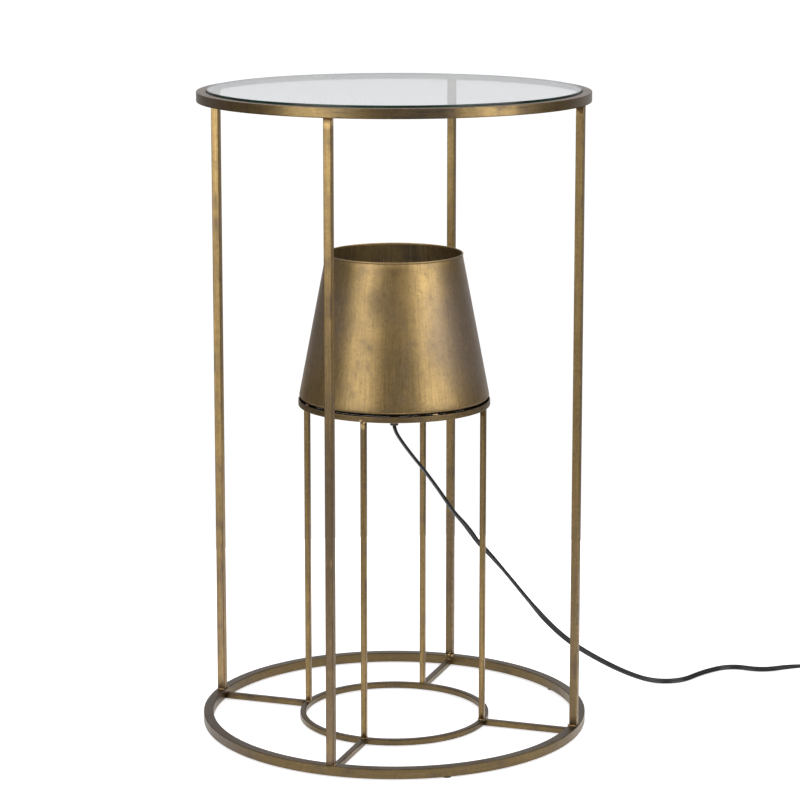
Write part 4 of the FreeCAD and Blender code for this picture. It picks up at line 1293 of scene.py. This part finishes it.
class LAMP_OT_shade(LampOperator):
    """Roll the conical shade with the bead round its mouth"""

    bl_idname = "lamp.shade"
    bl_label = "Shade"

    def execute(self, context):
        low, high = heights("shade")
        foot = cad("shade", 1, 0) / MM
        sheet = mm("shade_sheet")
        mouth = 70.0  # the sheet's outside radius under the bead
        bead = 0.85
        start = foot - (foot - mouth) / (high - low) * 3.4  # where the foot's roll begins
        roll = np.radians(np.linspace(-72.0, 0.0, 8))
        hem = np.stack([start - 2.6 + 2.6 * np.cos(roll), low + 3.2 + 3.0 * np.sin(roll)], axis=-1)
        # The lip turns in and down nearly to the ring; it is painted nearly black as shade in the
        # gap.
        hem = np.concatenate([[(start - 4.4, low - 1.48), (start - 3.2, low - 1.0)], hem])
        outside = np.linspace((start, low + 3.6), (mouth + 0.25, high - 2.4), 26)
        inside = np.linspace((mouth - sheet + 0.3, high - 2.0), (start - sheet, low + 3.6), 20)
        tuck = hem[::-1] + (-0.8, 0.6)
        a = np.radians(np.linspace(-115.0, 205.0, 15))
        curl = np.stack([mouth + bead * np.cos(a), high - bead + bead * np.sin(a)], axis=-1)
        outline = np.concatenate([hem, outside, curl, inside, tuck])
        worn = np.concatenate([
            np.zeros(4), np.full(len(hem) - 4, 0.45), np.zeros(len(outside)),
            np.full(len(curl), 0.7), np.zeros(len(inside) + len(tuck))])
        # Painted light on the shade, placed as the camera sees it: the clean marks are painted
        # highlight in its lit right-hand band, the brown mark painted shade where it faces the
        # camera, and the mauve marks painted reflection at its right and left edges.
        marks = [
            (polar(82.0, -59.5, 474.0), 22.0, "clean", 0.7),
            (polar(85.0, -78.5, 455.0), 26.0, "brown", 0.55),
            (polar(80.0, -53.5, 440.0), 48.0, "clean", 0.5),
            (polar(86.0, 10.5, 420.0), 95.0, "mauve", 1.2),
            (polar(86.0, -149.5, 430.0), 75.0, "mauve", 0.8),
        ]
        finish = aged_brass(
            "brass_shade", tone=0.95, gold=0.85, olive=0.8, mauve=0.36, streak=12.0, seed=30.0,
            roughness=0.39, dark=0.6, marks=marks)
        sheet_part = turned(outline, worn, steps=256, closed=True, turned_uv=True)
        # Painted shade: the inner wall takes a darker copy of the brass.
        dark = aged_brass(
            "brass_shade_inside", tone=0.58, gold=0.1, olive=1.0, mauve=0.2, streak=12.0,
            seed=31.0, roughness=0.5, dark=-0.3)

        def finish_of(middles):
            """0 outside, 1 on the inner wall, a darker copy as painted shade, 2 on the lip in the
            gap, painted black as shade.
            """
            radius = np.hypot(middles[:, 0], middles[:, 1])
            wall = foot + (mouth - foot) * (middles[:, 2] - low) / (high - low)
            inside = (radius < wall - 0.5 * sheet) & (middles[:, 2] < high - 2.2)
            return np.where(middles[:, 2] < low - 0.2, 2, inside)

        piece(
            "shade_cone", [sheet_part], [finish, dark, painted_crevice_shade("shade_hem_wax")], ("shade",),
            pick=finish_of)
        return {"FINISHED"}


class LAMP_OT_holder(LampOperator):
    """Fit the carrier bar, threaded tube, nut, gland and lamp holder under the shade"""

    bl_idname = "lamp.holder"
    bl_label = "Lamp holder"

    def execute(self, context):
        brass = aged_brass(
            "brass_carrier", tone=0.7, gold=0.3, olive=1.0, mauve=0.5, streak=20.0, seed=41.0,
            roughness=0.42, dark=0.3)
        softened("carrier_bar", "holder_carrier", brass, width=0.5)
        steel = bare_metal("plated_steel", (0.62, 0.61, 0.58), (0.30, 0.28, 0.25), roughness=0.28)
        low, high = heights("threaded_tube")
        tube = thread(
            [(3.5, low), (4.6, low)], radius=4.95, depth=0.55, pitch=1.0, low=low + 0.3,
            high=high - 0.3, after=[(4.6, high), (3.5, high)], closed=True, steps=48)
        piece("tube_m10", [tube], [steel], ("threaded_tube",))
        low, high = heights("lock_nut")
        piece(
            "nut_hexagon", [hexagon(flats=14.0, bore=5.1, low=low, high=high)], [steel],
            ("lock_nut",))
        self.gland()
        self.cups()
        brass = bare_metal(
            "contact_brass", (0.72, 0.52, 0.24), (0.30, 0.20, 0.10), roughness=0.28,
            brushed=(90.0, 700.0, 1.0))
        shell_low, shell_high = heights("screw_shell")
        wall = 0.4
        steps = 72
        outside = thread(
            [], radius=13.98, depth=0.34, pitch=3.6, low=shell_low, high=shell_high - 0.6,
            after=[(13.98, shell_high)], steps=steps)
        shape = outside["points"].reshape(steps + 1, -1, 3)
        radius = np.hypot(shape[..., 0], shape[..., 1])[..., None]
        inside = shape.copy()
        inside[..., :2] *= (radius - wall) / radius
        shell = skin(np.concatenate([shape, inside[:, ::-1]], axis=1), around=True)
        piece("shell_rolled", [shell], [brass], ("screw_shell",))
        softened("contact_strip", "centre_contact", brass, width=0.12)
        refinish("cord_inside", plastic(
            "cord_sheath_inside", colours().cord, roughness=0.3, grain=2200.0, relief=0.015))
        return {"FINISHED"}

    def gland(self):
        """The tapered strain relief, grooved round so that it bends with the cord."""
        low, high = heights("cord_gland")
        seat = cad("threaded_tube", 0, 2) / MM
        s = np.linspace(0.0, 1.0, 61)
        taper = np.stack([
            4.3 + 2.6 * s - 0.30 * (1.0 - np.cos(TURN * 5.0 * s)) / 2,
            low + 0.5 + (high - 3.6 - low) * s], axis=-1)
        collar, _ = soften(
            [(6.9, high - 3.1), (7.0, high - 3.0), (7.0, high), (5.1, high), (5.1, seat),
             (2.9, seat), (2.9, low), (4.0, low), (4.3, low + 0.4)], 0.4, closed=False)
        outline = np.concatenate([taper, collar])
        part = ribbed(
            turned(outline, steps=96, closed=True), high - 2.8, high - 0.4, inside=6.5, count=16,
            depth=0.5)
        finish = plastic(
            "gland_plastic", (0.075, 0.056, 0.042), roughness=0.36, grain=1600.0, relief=0.02)
        piece("gland_tapered", [part], [finish], ("cord_gland",))

    def cups(self):
        """The holder's cap, its sleeve with the shade thread, and the ceramic disc."""
        black = plastic(
            "holder_plastic", (0.018, 0.017, 0.016), roughness=0.34, grain=1200.0, relief=0.02)
        low, high = heights("holder_cap")
        outline, _ = soften([
            (5.1, low), (16.5, low), (19.0, low + 2.5), (19.0, low + 5.5), (18.4, low + 6.1),
            (18.4, high - 2.0), (19.0, high - 1.4), (19.0, high), (17.0, high),
            (17.0, low + 2.0), (5.1, low + 2.0)], 0.4)
        cap = ribbed(
            turned(outline, steps=216, closed=True), low + 6.2, high - 2.0, inside=18.0, count=36,
            depth=0.6)
        piece("holder_cap_cup", [cap], [black], ("holder_cap",))
        top = cad("holder_sleeve", 1, 2) / MM
        lip = [
            (19.0, top - 3.8), (20.2, top - 3.0), (20.6, top - 2.5), (20.6, top - 0.5),
            (20.2, top), (17.5, top), (17.0, top - 0.4)]
        sleeve = thread(
            [(17.0, high), (18.7, high)], radius=19.0, depth=0.9, pitch=3.2, low=high + 0.6,
            high=top - 5.0, after=lip, closed=True, steps=96)
        piece("holder_sleeve_cup", [sleeve], [black], ("holder_sleeve",))
        low = cad("holder_insert", 0, 2) / MM
        outline, _ = soften(
            [(0.0, low), (17.0, low), (17.0, high), (14.9, high), (14.5, high - 0.5),
             (0.0, high - 0.5)], 0.35, closed=False)
        glaze = plastic(
            "ceramic", (0.74, 0.71, 0.65), roughness=0.16, grain=500.0, relief=0.03, coat=0.6)
        piece(
            "insert_ceramic", [turned(outline, steps=72)], [glaze], ("holder_insert",))


class LAMP_OT_bulb(LampOperator):
    """Screw in the reflector bulb"""

    bl_idname = "lamp.bulb"
    bl_label = "Bulb"

    def execute(self, context):
        foot, top = heights("bulb_glass")
        rim = cad("bulb_glass", 1, 0) / MM
        lower, _ = soften([
            (0.0, foot), (12.6, foot), (13.9, foot + 3.0), (13.9, foot + 12.5),
            (rim - 0.3, foot + 56.5), (rim, foot + 66.0)], (0.0, 0.8, 1.5, 14.0, 7.0, 0.0),
            closed=False, steps=8)
        t = np.linspace(0.0, math.pi / 2, 16)
        dome = np.stack([rim * np.cos(t), foot + 66.0 + (top - foot - 66.0) * np.sin(t)], axis=-1)
        dome[-1, 0] = 0.0
        silver = Finish("bulb_silvered", IOR=1.5, Coat_Weight=0.8, Coat_Roughness=0.03)
        haze = silver.noise("Object", 90.0, 4.0, 0.6)
        silver.set(
            Base_Color=silver.mix(haze.between(0.4, 0.8), (0.80, 0.80, 0.79), (0.66, 0.66, 0.65)),
            Metallic=1.0, Roughness=0.12 + haze * 0.12)
        frost = Finish("bulb_glass", IOR=1.5, Subsurface_Weight=0.25)
        etched = frost.noise("Object", 900.0, 3.0, 0.6)
        frost.set(
            Base_Color=frost.mix(etched, (0.88, 0.88, 0.87), (0.80, 0.80, 0.79)),
            Roughness=0.3 + etched * 0.15, Normal=frost.bump(etched, 0.02, 0.5))
        piece(
            "bulb_envelope", [turned(np.concatenate([lower, dome[1:]]), steps=128)],
            [silver.material, frost.material], ("bulb_glass",), body="bulb",
            pick=lambda middles: middles[:, 2] > foot + 60.0)
        low, high = heights("bulb_cap")
        nickel = bare_metal("bulb_metal", (0.70, 0.69, 0.66), (0.42, 0.40, 0.37), roughness=0.22)
        cap = thread(
            [(0.0, low), (10.6, low), (12.4, low + 1.2)], radius=13.1, depth=0.9, pitch=3.6,
            low=low + 2.0, high=high - 3.2,
            after=[(13.1, high - 2.2), (13.1, high - 0.3), (12.7, high), (0.0, high)], steps=72)
        piece("bulb_screw_cap", [cap], [nickel], ("bulb_cap",), body="bulb")
        tip = cad("bulb_tip_contact", 0, 2) / MM
        outline, _ = soften(
            [(0.0, tip), (3.9, tip), (4.4, tip + 0.8), (5.2, tip + 0.9), (8.0, low), (0.0, low)],
            0.3, closed=False)
        black = plastic(
            "bulb_insulator", (0.02, 0.018, 0.022), roughness=0.12, grain=500.0, relief=0.02)
        piece(
            "bulb_contact_button", [turned(outline, steps=48)], [black, nickel],
            ("bulb_tip_contact",), body="bulb",
            pick=lambda middles: middles[:, 2] < tip + 0.75)
        return {"FINISHED"}


# The switch housing, in millimetres and degrees: where it starts, which way it points, half its
# length, how far along and across from its middle its round corners have theirs, their radius,
# the bevel at its foot, the height where the bevel at its top begins, and that bevel.
SWITCH_START = (398.5, 304.5)
SWITCH_HEADING = 23.87
SWITCH_HALF = 30.0
SWITCH_CORNERS = (19.0, 1.5)
SWITCH_CORNER = 11.0
SWITCH_FOOT_BEVEL = 1.4
SWITCH_SHOULDER = 11.5
SWITCH_TOP_BEVEL = 3.0


class LAMP_OT_switch(LampOperator):
    """Close the in-line rocker switch round the cord"""

    bl_idname = "lamp.switch"
    bl_label = "Switch"

    def execute(self, context):
        black = plastic(
            "switch_plastic", colours().plastic, roughness=0.36, grain=900.0, relief=0.03)
        glossy = plastic(
            "rocker_plastic", (0.016, 0.016, 0.017), roughness=0.2, grain=900.0, relief=0.01,
            coat=0.3)
        softened(
            "switch_lower_half", "switch_lower_shell", black, width=0.45,
            tidied=self.within)
        softened(
            "switch_upper_half", "switch_upper_shell", black, width=0.45,
            tidied=self.within)
        softened(
            "switch_key", "switch_rocker", glossy, width=0.5, body="rocker")
        brass = bare_metal(
            "switch_brass", (0.72, 0.52, 0.24), (0.30, 0.20, 0.10), roughness=0.3,
            brushed=(90.0, 700.0, 1.0))
        softened(
            "switch_contact_blocks", "switch_contacts", brass, width=0.4)
        refinish("switch_cord_ends", plastic(
            "cord_sheath_ends", colours().cord, roughness=0.3, grain=2200.0, relief=0.015))
        return {"FINISHED"}

    def within(self, corners):
        """Draw what lies past the housing's rounded, bevelled corners back on their surface.

        The surface's distance from a corner's middle is the corner's radius, less what the
        bevel takes off at that height.
        """
        a = math.radians(SWITCH_HEADING)
        turn = np.array([[math.cos(a), -math.sin(a)], [math.sin(a), math.cos(a)]])
        middle = np.array(SWITCH_START) + turn @ (SWITCH_HALF, 0.0)
        flat = (corners[:, :2] / MM - middle) @ turn
        z = corners[:, 2] / MM
        off = np.abs(flat) - SWITCH_CORNERS
        far = np.hypot(off[:, 0], off[:, 1])
        reach = SWITCH_CORNER - np.clip(SWITCH_FOOT_BEVEL - z, 0.0, SWITCH_FOOT_BEVEL)
        reach = reach - np.clip(z - SWITCH_SHOULDER, 0.0, SWITCH_TOP_BEVEL)
        out = (off > 0).all(axis=1) & (far > reach + 0.02)
        share = np.where(out, reach / np.maximum(far, 1.0), 1.0)[:, None]
        flat = np.where(out[:, None], np.sign(flat) * (SWITCH_CORNERS + off * share), flat)
        return np.concatenate([(flat @ turn.T + middle) * MM, corners[:, 2:]], axis=1)


# The plug: where its sleeve starts, where it points, and the height of its axis.
PLUG_START = (551.5, 202.5)
PLUG_HEADING = math.degrees(math.atan2(202.5 - 215.5, 551.5 - 546.2))
PLUG_AXIS = 6.85


class LAMP_OT_plug(LampOperator):
    """Mould the flat two-pin plug on the cord's end"""

    bl_idname = "lamp.plug"
    bl_label = "Plug"

    def execute(self, context):
        black = plastic(
            "plug_plastic", colours().plastic, roughness=0.40, grain=1000.0, relief=0.03)
        x = np.linspace(0.0, 22.0, 67)
        collars = (1.0 - np.cos(TURN * x / 3.4)) / 2 * np.clip((22.0 - x) / 2.0, 0, 1)
        grow = 2.9 + 2.6 * (x / 22.0) ** 0.8 - 0.75 * collars
        sleeve = np.stack([x, grow * 1.12, grow, np.full_like(x, 2.3)], axis=-1)
        piece(
            "plug_sleeve", [lofted(sleeve, PLUG_HEADING, PLUG_START, PLUG_AXIS)], [black],
            ("plug_relief",))
        x = np.concatenate([[22.0, 22.3, 22.8], np.linspace(23.5, 53.6, 88), [54.3, 54.8, 55.0]])
        wide = 6.4 + 11.2 * ease(x, 22.0, 40.0)
        grip = (1.0 - np.cos(TURN * (x - 25.0) / 2.4)) / 2 * (ease(x, 25, 27) - ease(x, 36, 38))
        wide = wide - 0.5 * grip
        tall = 5.4 + 1.42 * ease(x, 22.0, 34.0) - 0.28 * grip
        edge = 1.0 - 0.11 * np.clip((22.9 - x) / 0.9, 0, 1) ** 2 - 0.05 * np.clip(
            (x - 54.0), 0, 1) ** 2
        body = np.stack([x, wide * edge, tall * edge, 2.6 + 1.4 * ease(x, 26.0, 44.0)], axis=-1)
        piece(
            "plug_moulding",
            [lofted(body, PLUG_HEADING, PLUG_START, PLUG_AXIS, columns=56)], [black],
            ("plug_body",))
        outline, _ = soften(
            [(0.0, 47.5), (2.0, 47.5), (2.0, 64.8), (1.86, 65.0), (1.86, 72.2), (1.2, 74.0),
             (0.0, 74.0)], (0.0, 0.2, 0.05, 0.05, 1.2, 0.8, 0.0), closed=False)
        pins = []
        for side in (-9.3, 9.3):
            place = np.array(PLUG_START) + polar(side, PLUG_HEADING + 90.0)[:2]
            pins.append(laid(turned(outline, steps=36), PLUG_HEADING, place, PLUG_AXIS))
        nickel = bare_metal("pin_metal", (0.72, 0.71, 0.68), (0.50, 0.48, 0.45), roughness=0.18)
        ahead = polar(1.0, PLUG_HEADING)[:2]
        piece(
            "plug_pin_pair", pins, [black, nickel], ("plug_pins",),
            pick=lambda middles: (middles[:, :2] - PLUG_START) @ ahead > 64.9)
        return {"FINISHED"}


class LAMP_OT_tie(LampOperator):
    """Wrap the hook-and-loop tie round the coil"""

    bl_idname = "lamp.tie"
    bl_label = "Cord tie"

    def execute(self, context):
        loop, _ = soften(
            [(24.7, 0.35), (38.4, 0.35), (38.4, 12.35), (24.7, 12.35)], 2.2, steps=8)
        tail, _ = soften(
            [(26.5, 12.75), (38.75, 12.75), (38.75, 6.0)], 2.0, closed=False, steps=8)
        middle = np.array(COIL_MIDDLE) / MM
        outward_way = polar(1.0, 225.0)
        bands = []
        for outline, closed in ((loop, True), (tail, False)):
            if closed:
                outline = np.concatenate([outline, outline[:1]])
            path = np.array((*middle, 0.0)) + outline[:, :1] * outward_way + outline[:, 1:] * UP
            along = unit(np.gradient(path, axis=0))
            if closed:
                along[0] = along[-1] = unit(along[0] + along[-1])
            across = polar(1.0, 315.0)
            section, _ = soften(rectangle(6.0, 0.42), 0.12, steps=3, support=0.3)
            bands.append(swept(section, path, across, np.cross(along, across), ends=not closed))
        f = Finish("tie_plastic", Sheen_Weight=0.4, Sheen_Roughness=0.5)
        loops = f.noise("Object", 2600.0, 3.0, 0.7)
        f.set(
            Base_Color=f.mix(loops, (0.012, 0.012, 0.013), (0.05, 0.05, 0.052)),
            Roughness=0.75 + loops * 0.2, Normal=f.bump(loops, 0.12, 0.9))
        piece("coil_tie", bands, [f.material], ("cord_tie",))
        return {"FINISHED"}


class LAMP_OT_cords(LampOperator):
    """Lay the flat black cord: gland to switch, and switch to coil to plug"""

    bl_idname = "lamp.cords"
    bl_label = "Cords"

    def execute(self, context):
        sheath = plastic(
            "cord_sheath", colours().cord, roughness=0.16, grain=2200.0, relief=0.006, shine=0.45)
        line = smooth_line("hanging_line", HANGING_ROUTE)
        walked = distance_along(line)
        twist = np.interp(walked, *zip(*HANGING_TWIST))
        twist = twist + (180.0 - twist) * ease(walked, walked[-1] - 0.055, walked[-1] - 0.01)
        hanging = piece(
            "cord_gland_to_switch", [cord_sweep(line, twist)], [sheath],
            ("cord_to_switch",))
        turns = coil_route()
        entry = run_beside(turns[0], -COIL_STRAIGHT)
        leave = run_beside(turns[-1], COIL_STRAIGHT)
        route = LEAD_ROUTE + [run_beside(entry, -0.013), entry] + turns
        route += [leave, run_beside(leave, 0.0136)] + TAIL_ROUTE
        line = smooth_line("coiled_line", route)
        walked = distance_along(line)
        whole = walked[-1]
        on_edge = ease(walked, 0.02, 0.085) * (1.0 - ease(walked, whole - 0.085, whole - 0.02))
        twist = 90.0 * on_edge
        coiled = piece(
            "cord_switch_to_plug", [cord_sweep(line, twist)], [sheath],
            ("cord_lead", "cord_coil", "cord_tail"))
        return {"FINISHED"}


class LAMP_PT_panel(bpy.types.Panel):
    """The steps and the sizes, in the sidebar"""

    bl_idname = "LAMP_PT_panel"
    bl_label = "Floor lamp with table"
    bl_space_type = "VIEW_3D"
    bl_region_type = "UI"
    bl_category = "Lamp"

    def draw(self, context):
        for step in STEPS:
            self.layout.operator(step.bl_idname)
        for group in (context.scene.lamp_sizes, context.scene.lamp_colours):
            box = self.layout.box()
            for name in group.__annotations__:
                box.prop(group, name)


STEPS = (
    LAMP_OT_camera, LAMP_OT_stage, LAMP_OT_table_frame, LAMP_OT_inner_frame, LAMP_OT_welds,
    LAMP_OT_table_top, LAMP_OT_floor_pads, LAMP_OT_shade, LAMP_OT_holder, LAMP_OT_bulb,
    LAMP_OT_switch, LAMP_OT_plug, LAMP_OT_tie, LAMP_OT_cords,
)
CLASSES = (LampSizes, LampColours, *STEPS, LAMP_PT_panel)


def register():
    for part in CLASSES:
        bpy.utils.register_class(part)
    bpy.types.Scene.lamp_sizes = PointerProperty(type=LampSizes)
    bpy.types.Scene.lamp_colours = PointerProperty(type=LampColours)


def unregister():
    del bpy.types.Scene.lamp_colours
    del bpy.types.Scene.lamp_sizes
    for part in reversed(CLASSES):
        bpy.utils.unregister_class(part)


def main():
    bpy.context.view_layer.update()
    register()
    for step in STEPS:
        group, name = step.bl_idname.split(".")
        getattr(getattr(bpy.ops, group), name)()


if __name__ == "__main__":
    main()
